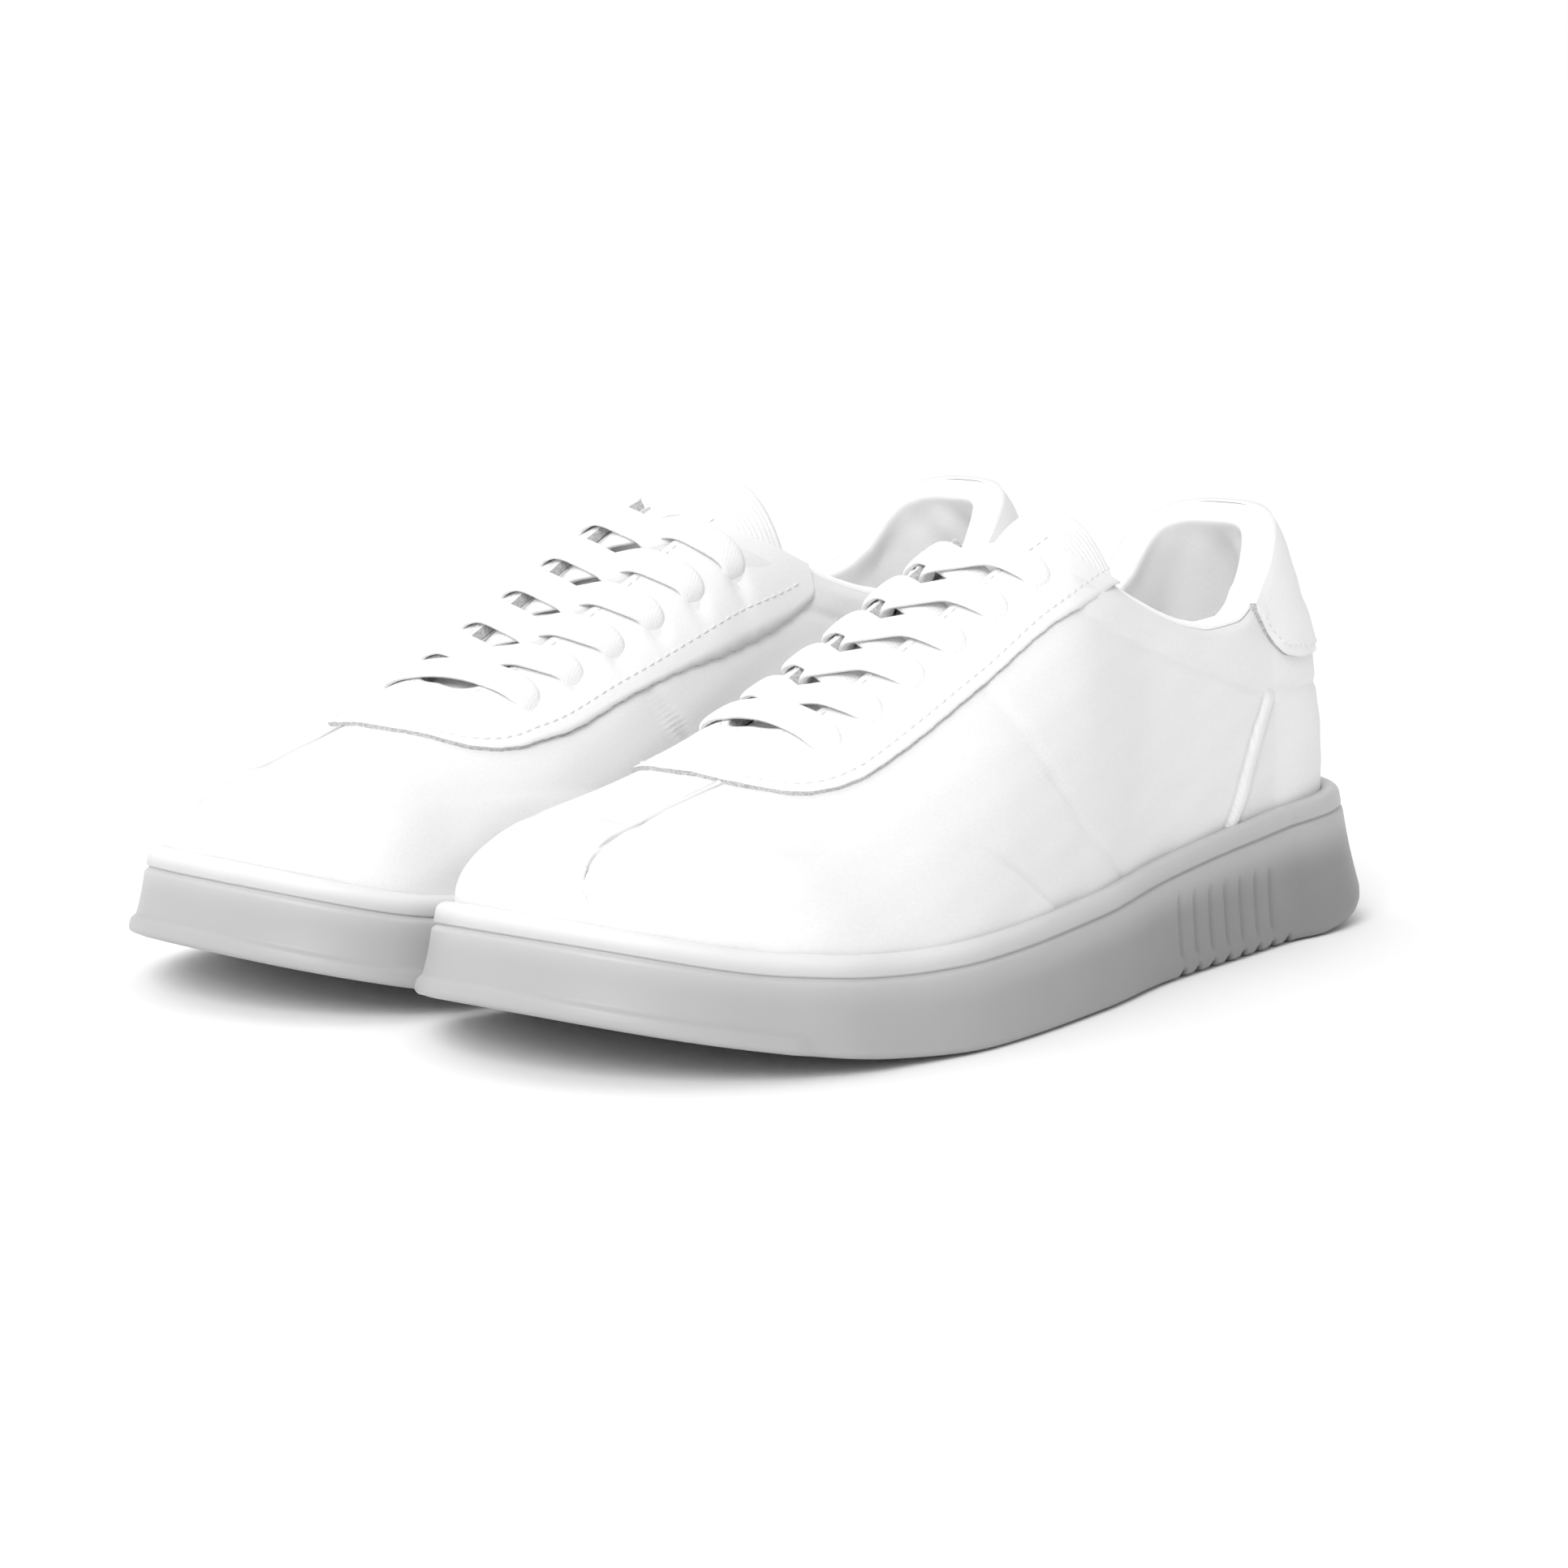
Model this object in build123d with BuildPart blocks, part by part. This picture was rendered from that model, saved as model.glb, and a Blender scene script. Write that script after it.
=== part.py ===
"""A pair of low laced sneakers with cup soles, as separate pieces in millimetres.

Every piece is built in the left shoe's own frame: x runs from the back of the heel to the toe,
y is positive towards the outside of the foot and z is up from the ground.  The left piece is then
turned out a little and moved to its place, and the right piece is its mirror image.
"""
import math
import os

from build123d import *

# ---------------------------------------------------------------- pair layout
PAIR_HALF_GAP = 55.5        # pair centre to a shoe's own long axis
TOE_OUT = 3.075             # each shoe points outwards by this many degrees
TURN_X = 150.0              # station of the point a shoe is turned about
PAIR_SHIFT_X = 0.7          # brings the middle of the pair to x = 0

# ---------------------------------------------------------------- last and upper
HEEL_BACK = 4.0             # back of the upper where it leaves the sole
TOE_TIP = 294.5             # front of the upper where it leaves the sole
HEEL_END = 44.0             # the rounded heel plan ends here
HEEL_BLEND = 84.0           # the heel's forward lean fades out here
TOE_START = 235.0           # the rounded toe plan starts here
HEEL_HALF = 26.5
TOE_HALF = 50.0
HEEL_POWER = 2.5
TOE_POWER = 2.2
SLOPE = 1.1                 # an inset lowers the sloping ridge by this much more
CENTRE_LINE = [(0, -1), (30, -3), (65, -1), (110, 3), (150, 6), (190, 4.5), (215, 2), (245, -1),
               (270, -6), (290, -7), (300, -7)]
HALF_WIDTH = [(20, 24), (44, 26.5), (65, 29), (110, 32), (150, 39), (190, 47), (215, 50.5), (235, 50)]
RIM_TOP = [(-14, 37.4), (0, 36.8), (70, 33.6), (150, 27.8), (220, 25.4), (260, 28.5), (298, 37.1),
           (314, 41.5)]
RIDGE = [(0, 155), (60, 143), (100, 125), (120, 117.5), (140, 109), (175, 90.5), (210, 73.5),
         (225, 67.6), (243, 61.6), (260, 57.4), (272, 53.8), (282, 50), (289, 46), (292.5, 42.5),
         (294.5, 37)]
ROUNDNESS = [(0, 3), (60, 3), (110, 3.2), (140, 4), (175, 3), (210, 2.2), (243, 2), (300, 2)]
FULLNESS_OUTSIDE = [(0, 0.5), (140, 0.5), (175, 0.53), (210, 0.58), (243, 0.64), (270, 0.64), (300, 0.6)]
FULLNESS_INSIDE = [(0, 0.5), (140, 0.5), (175, 0.5), (210, 0.47), (243, 0.42), (270, 0.4), (300, 0.4)]
HEEL_LEAN = [(0, 4.6), (8, 4.6), (36, 4), (50, 4.3), (60, 6), (74, 11), (85, 15), (96, 20), (105, 25),
             (112, 30), (126, 41)]
LEVELS = (4, 14, 24, 31, 37, 42, 47, 52, 58, 65, 74, 84, 95, 106, 116, 125)
RING_POINTS = 20            # points along each side of one level
STEP_LEVEL = 37.0           # the level that sets the spacing of the knots

# ---------------------------------------------------------------- layers, as depths from the skin's face
GAP = 0.08
SKIN = 1.4
BACKING = 2.2
COUNTER = 2.6
PUFF_IN, PUFF_OUT = 2.25, 2.9
LINING_OUT, LINING_IN = 3.0, 3.8
PAD = 4.2                   # extra depth of the padded collar
TONGUE_FACE = (5.4, 6.4)
TONGUE_FOAM = (6.65, 9.4)
TONGUE_BACK = (9.65, 10.4)
LABEL = (4.3, 11.4)
LABEL_FIT = 0.3             # the folded tape stands this clear of the tongue
OVERLAY = 1.35              # eyestay and heel tab stand this proud of the skin

# ---------------------------------------------------------------- edges and seams
TOP_LINE = [(-20, 113), (20, 113), (30, 112.4), (37, 109), (43, 103.5), (49, 96), (56, 89.5), (65, 86.6),
            (78, 86.2), (90, 88), (101, 91.5), (111, 96), (119, 100.2), (129, 105.5), (134, 112), (135, 130)]
COLLAR_LINE = [(-20, 64), (30, 64.5), (47, 65.5), (81, 74), (107, 82), (127, 89), (140, 95), (150, 101)]
COUNTER_EDGE = [(47, 63.4), (57, 51), (64, 40), (70, 32), (75, 22)]
MIDFOOT_SEAM = [(112, 0), (128, 28), (150, 44), (167, 61), (174, 78), (182, 130)]
GUARD_TOP = [(158, 14), (165, 25), (174, 32), (186, 39.5), (196, 44.5), (212, 47), (242, 48), (260, 49.5),
             (268, 54), (271, 62)]
STEM = [(222, 7), (241, 8), (256, 10), (274, 11), (274, -31), (259, -27), (247, -22.5), (222, -22)]
HEEL_TAB = [(-12, 73), (30, 72.6), (41, 74), (49, 78.5), (55.5, 86), (60, 96), (60, 124), (-12, 124)]
EYESTAY_EDGE = [(112, 27), (119, 28.5), (145, 33), (167, 33.2), (190, 32.4), (212, 31), (222, 29), (230, 25),
                (236.5, 17), (240, 8), (240.6, -3), (238.5, -12), (234, -21), (227, -29), (217, -33),
                (206, -33.6), (190, -32), (174, -30.4), (150, -28), (124, -25.5), (112, -24.5)]
BACK_SEAM_Y = -1.3
THROAT_FRONT = 222.0
THROAT_HALF = (11.0, 13.0)   # half width at the front and at the top
THROAT_Y = (-3.0, 2.6)      # centre at the front and at the top
THROAT_REAR = 92.0          # the slot's prism runs back to this station
EYELET_X = (211.0, 196.6, 182.4, 168.4, 154.2, 139.6)
EYELET_HALF = (21.6, 22.4)  # eyelet row from the throat's centre, front and top
EYELET_Y = (-2.6, 2.2)
EYELET_R = 2.3

# ---------------------------------------------------------------- sole
RIM_OUT = 4.0               # rim stands this far outside the upper
SOLE_LEAN = [(-14, 8), (8, 7.5), (30, 5), (60, 2.4), (110, 2.4), (200, 3.9), (260, 5), (314, 5)]
TOE_SPRING = 14.2
SPRING_START = 197.0
SPRING_LENGTH = 101.0
FLOOR = 5.0
GROUND = [(-30, 24), (-13, 14), (-7, 9), (1, 4.6), (12, 1.4), (30, 0)]
BEAD_HEIGHT = 5.2
BEAD_GROOVE = 0.8
FLANGE_HEIGHT = 4.3
FLANGE_OUT = 1.0
SOLE_LEVELS = (-2, 6, 12, 20, 30, 46)
INSOLE = [(-14, 25.4), (0, 25), (60, 24), (100, 21), (150, 16.5), (200, 13.5), (240, 14), (270, 18.4),
          (298, 26.5), (314, 31)]
CUP_FIT = 0.12
FLANGE_STACK = 3.2          # lasting allowance and filler under the board
BOARD = 1.6
LASTING = 13.0
FOOTBED = 4.2

FLUTES = range(56, 107, 8)  # stations of the upright flutes in the heel wall
FLUTE_R = 1.0
FLUTE_OUT = 0.35            # how far a flute's centre stands off the wall
HEEL_CLEATS = range(48, 105, 8)
TOE_CLEATS = range(140, 273, 8)
CLEAT_GAP = (3.0, 1.6)      # groove width and depth
CLEAT_MARGIN = 8.0          # front grooves stop this far inside the wall

# ---------------------------------------------------------------- tongue
TONGUE_TOP = 113.0          # stations of the tongue's two ends
TONGUE_ROOT = 232.0
TONGUE_HALF = (31.0, 27.0)
LABEL_HALF = 23.0
LABEL_LENGTH = 10.0
LABEL_WRAP = 1.0

# ---------------------------------------------------------------- lace
LACE_WIDTH, LACE_THICK = 5.0, 2.0
LACE_ROUND = 0.9
LACE_CORE_R = 1.35
LACE_BEND = 1.2
OVER_HEIGHT = 3.0
UNDER_DEPTH = -3.85
BAR_LIFT = 3.5
CROSS_OVER, CROSS_UNDER = 0.9, -1.5
RISE = 4.0                  # width of the slot that a strand takes to change height
TAIL_R = 1.1
TAIL_SIDE = 4.0
TAIL_LENGTH = 16.0
AGLET_LENGTH = 14.0
AGLET_WALL = 0.3


def along(table, at):
    """Value of a table of (station, value) pairs, on a smooth curve with no overshoot."""
    if at <= table[0][0]:
        return table[0][1]
    if at >= table[-1][0]:
        return table[-1][1]
    slopes = [(b[1] - a[1]) / (b[0] - a[0]) for a, b in zip(table, table[1:])]
    i = max(k for k in range(len(table) - 1) if table[k][0] <= at)
    start = slopes[0] if i == 0 else limited(slopes[i - 1], slopes[i])
    end = slopes[-1] if i == len(slopes) - 1 else limited(slopes[i], slopes[i + 1])
    width = table[i + 1][0] - table[i][0]
    t = (at - table[i][0]) / width
    rise = (2 * t - 3) * t * t
    return ((1 + rise) * table[i][1] + ((t - 2) * t + 1) * t * width * start
            - rise * table[i + 1][1] + (t - 1) * t * t * width * end)


def limited(before, after):
    """Slope at a table point that keeps the curve from overshooting."""
    if before * after <= 0:
        return 0.0
    return 2 * before * after / (before + after)


def smooth(value):
    """Ease from 0 to 1."""
    t = min(max(value, 0.0), 1.0)
    return t * t * (3 - 2 * t)


# ---------------------------------------------------------------- shape of the upper
def collar_pad(x, z):
    """Extra inset where the collar is padded."""
    rise = smooth((z - along(COLLAR_LINE, x)) / 14.0)
    return PAD * rise * smooth((142.0 - x) / 36.0)


def base_half(x, inset, toe_inset):
    """Half width of the upper at the sole."""
    if x < HEEL_END:
        back = max(0.0, (HEEL_END - x) / (HEEL_END - HEEL_BACK))
        return (HEEL_HALF - inset) * math.sqrt(max(0.0, 1 - back ** HEEL_POWER))
    if x > TOE_START:
        front = (x - TOE_START) / (TOE_TIP - toe_inset - TOE_START)
        return (TOE_HALF - inset) * math.sqrt(max(0.0, 1 - front ** TOE_POWER))
    return along(HALF_WIDTH, x) - inset


def half_width(x, z, inset, padded, side):
    """Half width of the upper at station x and height z, or -1 outside it."""
    local = inset + (collar_pad(x, z) if padded else 0.0)
    back = along(HEEL_LEAN, z) + inset + (collar_pad(0.0, z) if padded else 0.0)
    if x < back:
        return -1.0
    station = x
    if x < HEEL_BLEND:
        station = HEEL_BACK + (x - back) / (HEEL_BLEND - back) * (HEEL_BLEND - HEEL_BACK)
    rim = along(RIM_TOP, x)
    top = along(RIDGE, x) - SLOPE * local
    if z >= max(top, rim):
        return -1.0
    rise = min(max((z - rim) / max(top - rim, 0.5), 0.0), 1.0)
    power = along(FULLNESS_OUTSIDE if side > 0 else FULLNESS_INSIDE, x)
    return base_half(station, local, inset) * (1 - rise ** along(ROUNDNESS, x)) ** power


def front_of(z, inset, padded):
    """Foremost station of the upper at height z."""
    low, high = HEEL_END, TOE_TIP - inset
    if half_width(high - 0.001, z, inset, padded, 1) > 0:
        return high
    for _ in range(40):
        middle = (low + high) / 2
        if half_width(middle, z, inset, padded, 1) > 0:
            low = middle
        else:
            high = middle
    return low


def level_points(z, inset, padded=False):
    """Points round one level of the upper, from the heel along the outside to the toe and back."""
    back = along(HEEL_LEAN, z) + inset + (collar_pad(0.0, z) if padded else 0.0)
    front = front_of(z, inset, padded)
    middle, reach = (back + front) / 2, (front - back) / 2
    stations = [middle - reach * math.cos(math.pi * k / RING_POINTS) for k in range(1, RING_POINTS)]
    points = [(back, along(CENTRE_LINE, back))]
    for x in stations:
        points.append((x, along(CENTRE_LINE, x) + max(half_width(x, z, inset, padded, 1), 0.05)))
    points.append((front, along(CENTRE_LINE, front)))
    for x in reversed(stations):
        points.append((x, along(CENTRE_LINE, x) - max(half_width(x, z, inset, padded, -1), 0.05)))
    return points


def chord_steps(points):
    """Spline parameters in proportion to the distance round a ring of points."""
    steps = [0.0]
    for before, after in zip(points, points[1:] + points[:1]):
        steps.append(steps[-1] + math.dist(before, after))
    return steps


def closed_line(points, steps):
    """Closed spline whose knots are shared by every level of a loft."""
    return Edge.make_spline([Vector(x, y) for x, y in points], periodic=True, parameters=steps)


def form(inset, padded=False):
    """Solid inside the surface that lies an inset below the skin's face."""
    steps = chord_steps(level_points(STEP_LEVEL, inset, padded))
    with BuildPart() as body:
        for z in LEVELS:
            with BuildSketch(Plane.XY.offset(z)):
                with BuildLine():
                    add(closed_line(level_points(z, inset, padded), steps))
                make_face()
        loft()
    return body.part


def sole_form(extra):
    """Solid of the sole's leaning side wall, moved out by an extra amount."""
    steps = chord_steps(sole_points(STEP_LEVEL, extra))
    with BuildPart() as body:
        for z in SOLE_LEVELS:
            with BuildSketch(Plane.XY.offset(z)):
                with BuildLine():
                    add(closed_line(sole_points(z, extra), steps))
                make_face()
        loft()
    return body.part


def sole_points(z, extra):
    """Points round one level of the sole's wall."""
    points = []
    ring = level_points(30.0, -RIM_OUT)
    for k, (x, y) in enumerate(ring):
        before, after = ring[k - 1], ring[(k + 1) % len(ring)]
        run, rise = after[0] - before[0], after[1] - before[1]
        size = math.hypot(run, rise)
        rim = along(RIM_TOP, x)
        drop = min(max((rim - z) / (rim - ground(x)), -0.6), 1.0)
        out = extra + along(SOLE_LEAN, x) * drop
        points.append((x - rise / size * out, y + run / size * out))
    return points


def ground(x):
    """Height of the tread below station x."""
    spring = max(0.0, x - SPRING_START) / SPRING_LENGTH
    return TOE_SPRING * spring * spring


# ---------------------------------------------------------------- cutting prisms
def side_prism(edge, close, low_y=-90.0, high_y=90.0):
    """Prism across the shoe whose side view is a smooth edge closed by straight lines."""
    with BuildPart() as prism:
        with BuildSketch(Plane.XZ.offset(-high_y)):
            with BuildLine():
                Spline(*edge)
                Polyline(edge[-1], *close, edge[0])
            make_face()
        extrude(amount=high_y - low_y)
    return prism.part


def side_polygon(points, low_y=-90.0, high_y=90.0):
    """Prism across the shoe with a straight-sided side view."""
    with BuildPart() as prism:
        with BuildSketch(Plane.XZ.offset(-high_y)):
            with BuildLine():
                Polyline(*points, close=True)
            make_face()
        extrude(amount=high_y - low_y)
    return prism.part


def above(table, lift=0.0, top=150.0):
    """Everything above a side-view line."""
    edge = [(x, z + lift) for x, z in table]
    return side_prism(edge, [(edge[-1][0], top), (edge[0][0], top)])


def below(table, lift=0.0, bottom=-30.0):
    """Everything below a side-view line."""
    edge = [(x, z + lift) for x, z in table]
    return side_prism(edge, [(edge[-1][0], bottom), (edge[0][0], bottom)])


def throat(margin=0.0):
    """Prism of the lacing slot, grown by a margin."""
    nose = THROAT_FRONT + margin - THROAT_HALF[0]
    front, rear = THROAT_HALF[0] + margin, THROAT_HALF[1] + margin
    with BuildPart() as prism:
        with BuildSketch():
            with BuildLine():
                Polyline((nose, THROAT_Y[0] + front), (THROAT_REAR, THROAT_Y[1] + rear),
                         (THROAT_REAR, THROAT_Y[1] - rear), (nose, THROAT_Y[0] - front))
                ThreePointArc((nose, THROAT_Y[0] - front), (THROAT_FRONT + margin, THROAT_Y[0]),
                              (nose, THROAT_Y[0] + front))
            make_face()
        extrude(amount=140)
    return prism.part


def moved_in(points, margin):
    """Points of an open line moved to its right by a margin."""
    moved = []
    for k, (x, y) in enumerate(points):
        before, after = points[max(k - 1, 0)], points[min(k + 1, len(points) - 1)]
        run, rise = after[0] - before[0], after[1] - before[1]
        size = math.hypot(run, rise)
        moved.append((x + rise / size * margin, y - run / size * margin))
    return moved


def eyestay_plan(margin=0.0):
    """Prism of the eyestay's outer edge, moved in by a margin."""
    edge = moved_in(EYESTAY_EDGE, margin)
    with BuildPart() as prism:
        with BuildSketch():
            with BuildLine():
                Spline(*edge)
                Line(edge[-1], edge[0])
            make_face()
        extrude(amount=140)
    return prism.part


def slab(x0, x1, low_y=-90.0, high_y=90.0):
    """Upright slice of space between two stations."""
    return side_polygon([(x0, -30), (x1, -30), (x1, 150), (x0, 150)], low_y, high_y)


def shell(outer, inner):
    """Layer between two forms."""
    with BuildPart() as layer:
        add(outer)
        add(inner, mode=Mode.SUBTRACT)
    return layer.part


# ---------------------------------------------------------------- points on the upper
def on_form(x, y, height):
    """Point at a height above the skin's face over plan position x, y."""
    step = 0.5
    here = Vector(x, y, surface_z(x, y))
    run = Vector(x + step, y, surface_z(x + step, y)) - Vector(x - step, y, surface_z(x - step, y))
    cross = Vector(x, y + step, surface_z(x, y + step)) - Vector(x, y - step, surface_z(x, y - step))
    return here + run.cross(cross).normalized() * height


def surface_z(x, y):
    """Height of the skin's face over plan position x, y."""
    side = y - along(CENTRE_LINE, x)
    power = along(FULLNESS_OUTSIDE if side > 0 else FULLNESS_INSIDE, x)
    share = min(abs(side) / base_half(x, 0.0, 0.0), 1.0)
    rim = along(RIM_TOP, x)
    rise = (1 - share ** (1 / power)) ** (1 / along(ROUNDNESS, x))
    return rim + (along(RIDGE, x) - rim) * rise


def eyelet(row, side):
    """Plan position of one eyelet."""
    part = row / (len(EYELET_X) - 1)
    centre = EYELET_Y[0] + (EYELET_Y[1] - EYELET_Y[0]) * part
    half = EYELET_HALF[0] + (EYELET_HALF[1] - EYELET_HALF[0]) * part
    return EYELET_X[row], centre + side * half


def eyelet_holes(radius):
    """Pins through all twelve eyelets, square to the upper."""
    with BuildPart() as pins:
        for row in range(len(EYELET_X)):
            for side in (1, -1):
                x, y = eyelet(row, side)
                foot, tip = on_form(x, y, -6.0), on_form(x, y, 5.0)
                with BuildSketch(Plane(foot, z_dir=tip - foot)):
                    Circle(radius)
                extrude(amount=(tip - foot).length)
    return pins.part


# ---------------------------------------------------------------- sole and footbed
def under_ground(lift=0.0):
    """Everything below the tread's side view, raised by a lift."""
    heel = [(x, z + lift) for x, z in GROUND]
    spring = [(x, ground(x) + lift) for x in (SPRING_START, 222, 247, 272, 298, 320)]
    with BuildPart() as prism:
        with BuildSketch(Plane.XZ.offset(-90)):
            with BuildLine():
                Spline(*heel, tangents=[(1, -0.8), (1, 0)])
                Line(heel[-1], spring[0])
                Spline(*spring, tangents=[(1, 0), (1, 0.33)])
                Polyline(spring[-1], (320, -40), (-30, -40), heel[0])
            make_face()
        extrude(amount=180)
    return prism.part


def band(low, high, table):
    """Space between two lifts of one side-view line."""
    with BuildPart() as layer:
        add(below(table, high))
        add(below(table, low, -40), mode=Mode.SUBTRACT)
    return layer.part


def wall_y(x, side):
    """Face of the sole's wall at station x, half way down."""
    ring = sole_points(12.0, 0.0)
    outer = [p for p in ring if (p[1] > 0) == (side > 0)]
    outer.sort()
    return along(outer, x)


def flutes():
    """Upright rods that cut the flutes in both heel walls."""
    with BuildPart() as rods:
        for x in FLUTES:
            for side in (1, -1):
                with BuildSketch(Plane.XY.offset(4)):
                    with Locations((x, wall_y(x, side) + side * FLUTE_OUT)):
                        Circle(FLUTE_R)
                extrude(amount=17)
    return rods.part


def cleats(stations, limit):
    """Bars that cut cross grooves in the tread, kept inside a limiting form."""
    width, depth = CLEAT_GAP
    with BuildPart() as bars:
        for x in stations:
            slope = math.degrees(math.atan2(ground(x + 1) - ground(x - 1), 2))
            with Locations(Location((x, 0, ground(x)), (0, -slope, 0))):
                Box(width, 180, 2 * depth)
        if limit is not None:
            add(limit, mode=Mode.INTERSECT)
    return bars.part


def make_outsole(cavity):
    """Rubber cup with a rolled rim, flutes, a toe flange and a grooved tread."""
    wall = sole_form(0.0)
    wide = sole_form(6.0)
    slim = sole_form(-BEAD_GROOVE)
    flange_form = sole_form(FLANGE_OUT)
    tread_limit = sole_form(-CLEAT_MARGIN)
    groove_band = band(-BEAD_HEIGHT - BEAD_GROOVE, -BEAD_HEIGHT, RIM_TOP)
    foot_space = shell(cavity, under_ground(FLOOR))
    toe_slice = slab(258, 330)
    tread_line = under_ground()
    flange_line = under_ground(FLANGE_HEIGHT)
    ring = shell(wide, slim)
    heel_bars = cleats(HEEL_CLEATS, None)
    toe_bars = cleats(TOE_CLEATS, tread_limit)
    rods = flutes()
    top = above(RIM_TOP)
    with BuildPart() as groove:
        add(ring)
        add(groove_band, mode=Mode.INTERSECT)
    with BuildPart() as flange:
        add(flange_form)
        add(flange_line, mode=Mode.INTERSECT)
        add(toe_slice, mode=Mode.INTERSECT)
    with BuildPart() as outsole:
        add(wall)
        add(flange.part)
        add(top, mode=Mode.SUBTRACT)
        add(groove.part, mode=Mode.SUBTRACT)
        add(tread_line, mode=Mode.SUBTRACT)
        add(heel_bars, mode=Mode.SUBTRACT)
        add(toe_bars, mode=Mode.SUBTRACT)
        add(rods, mode=Mode.SUBTRACT)
        add(foot_space, mode=Mode.SUBTRACT)
    return outsole.part


def make_midsole():
    """Foam wedge that fills the cup under the lasted upper."""
    body = form(0.05)
    space = below(INSOLE, -FLANGE_STACK)
    floor = under_ground(FLOOR + 0.1)
    with BuildPart() as midsole:
        add(body)
        add(space, mode=Mode.INTERSECT)
        add(floor, mode=Mode.SUBTRACT)
    return midsole.part


def flat_layer(inset, low, high):
    """Sheet that follows the insole line."""
    body = form(inset)
    space = band(low, high, INSOLE)
    with BuildPart() as sheet:
        add(body)
        add(space, mode=Mode.INTERSECT)
    return sheet.part


# ---------------------------------------------------------------- upper
def make_skin(region):
    """One region of the skin, with its lasting allowance turned in under the board."""
    outer = form(0.0)
    inner = form(SKIN)
    core = form(LASTING)
    flange_space = band(-FLANGE_STACK + 0.1, -BOARD - 0.1, INSOLE)
    lower_end = below(INSOLE, -FLANGE_STACK + 0.1)
    opening = above(TOP_LINE)
    slot = throat(1.0)
    with BuildPart() as turned:
        add(outer)
        add(region, mode=Mode.INTERSECT)
        add(core, mode=Mode.SUBTRACT)
        add(flange_space, mode=Mode.INTERSECT)
    with BuildPart() as skin:
        add(outer)
        add(region, mode=Mode.INTERSECT)
        add(inner, mode=Mode.SUBTRACT)
        add(lower_end, mode=Mode.SUBTRACT)
        add(opening, mode=Mode.SUBTRACT)
        add(slot, mode=Mode.SUBTRACT)
        add(turned.part)
    return skin.part


def ahead_of_seam(shift):
    """Everything in front of the midfoot seam."""
    edge = [(x + shift, z) for x, z in MIDFOOT_SEAM]
    return side_prism(edge, [(330, 130), (330, 0)])


def behind_seam(shift, low_y, high_y):
    """Everything behind the midfoot seam, between two planes along the shoe."""
    edge = [(x + shift, z) for x, z in MIDFOOT_SEAM]
    return side_prism(edge, [(-30, 130), (-30, 0)], low_y, high_y)


def layer_on_board(outer_inset, inner_inset, region):
    """One region of a layer of the upper that stands on the insole board."""
    outer = form(outer_inset)
    inner = form(inner_inset)
    foot = below(INSOLE, 0.1)
    with BuildPart() as layer:
        add(outer)
        add(region, mode=Mode.INTERSECT)
        add(foot, mode=Mode.SUBTRACT)
        add(inner, mode=Mode.SUBTRACT)
    return layer.part


def make_counter():
    """Moulded heel stiffener."""
    region = side_prism(list(reversed(COUNTER_EDGE)), [(-20, COUNTER_EDGE[0][1]), (-20, 0), (75, 0)])
    return layer_on_board(SKIN + GAP, COUNTER, region)


def make_guard_core():
    """Toe cap, centre stem and side guards pressed through the skin."""
    sides = side_prism(GUARD_TOP, [(271, 130), (330, 130), (330, 0), (158, 0)])
    keep_out = eyestay_plan(-1.0)
    with BuildPart() as stem:
        with BuildSketch():
            Polygon(*STEM, align=None)
        extrude(amount=140)
    with BuildPart() as space:
        add(sides)
        add(stem.part)
        add(keep_out, mode=Mode.SUBTRACT)
    return layer_on_board(SKIN + GAP, BACKING, space.part)


def make_puff():
    """Stiffener inside the toe box."""
    front = side_polygon([(246, 0), (330, 0), (330, 140), (258, 140)])
    return layer_on_board(PUFF_IN, PUFF_OUT, front)


def make_foam():
    """Collar padding between the skin and the knit lining."""
    outer = form(SKIN + GAP)
    inner = form(LINING_OUT - GAP, True)
    low = below(COLLAR_LINE, 0.2)
    high = above(TOP_LINE, -1.2)
    stay = eyestay_plan(-0.6)
    front = slab(133, 330)
    with BuildPart() as foam:
        add(outer)
        add(front, mode=Mode.SUBTRACT)
        add(low, mode=Mode.SUBTRACT)
        add(high, mode=Mode.SUBTRACT)
        add(inner, mode=Mode.SUBTRACT)
        add(stay, mode=Mode.SUBTRACT)
    return foam.part


def make_lining(region, edge=None):
    """One region of the lining, open where the lace stay is."""
    outer = form(LINING_OUT, True)
    inner = form(LINING_IN, True)
    foot = below(INSOLE, 0.1)
    opening = above(TOP_LINE)
    stay = eyestay_plan(0.6)
    stay_cut = slab(-20, 226)
    with BuildPart() as stay_space:
        add(stay)
        add(stay_cut, mode=Mode.INTERSECT)
    with BuildPart() as lining:
        add(outer)
        add(region, mode=Mode.INTERSECT)
        add(foot, mode=Mode.SUBTRACT)
        add(opening, mode=Mode.SUBTRACT)
        add(inner, mode=Mode.SUBTRACT)
        if edge is not None:
            add(edge)
        add(stay_space.part, mode=Mode.SUBTRACT)
    return lining.part


def make_roll():
    """Knit edge that rolls over the foam along the top line."""
    outer = form(SKIN + GAP)
    inner = form(LINING_IN, True)
    low = below(TOP_LINE, -1.1)
    opening = above(TOP_LINE)
    region = slab(-20, 118)
    with BuildPart() as roll:
        add(outer)
        add(region, mode=Mode.INTERSECT)
        add(opening, mode=Mode.SUBTRACT)
        add(low, mode=Mode.SUBTRACT)
        add(inner, mode=Mode.SUBTRACT)
    return roll.part


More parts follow.
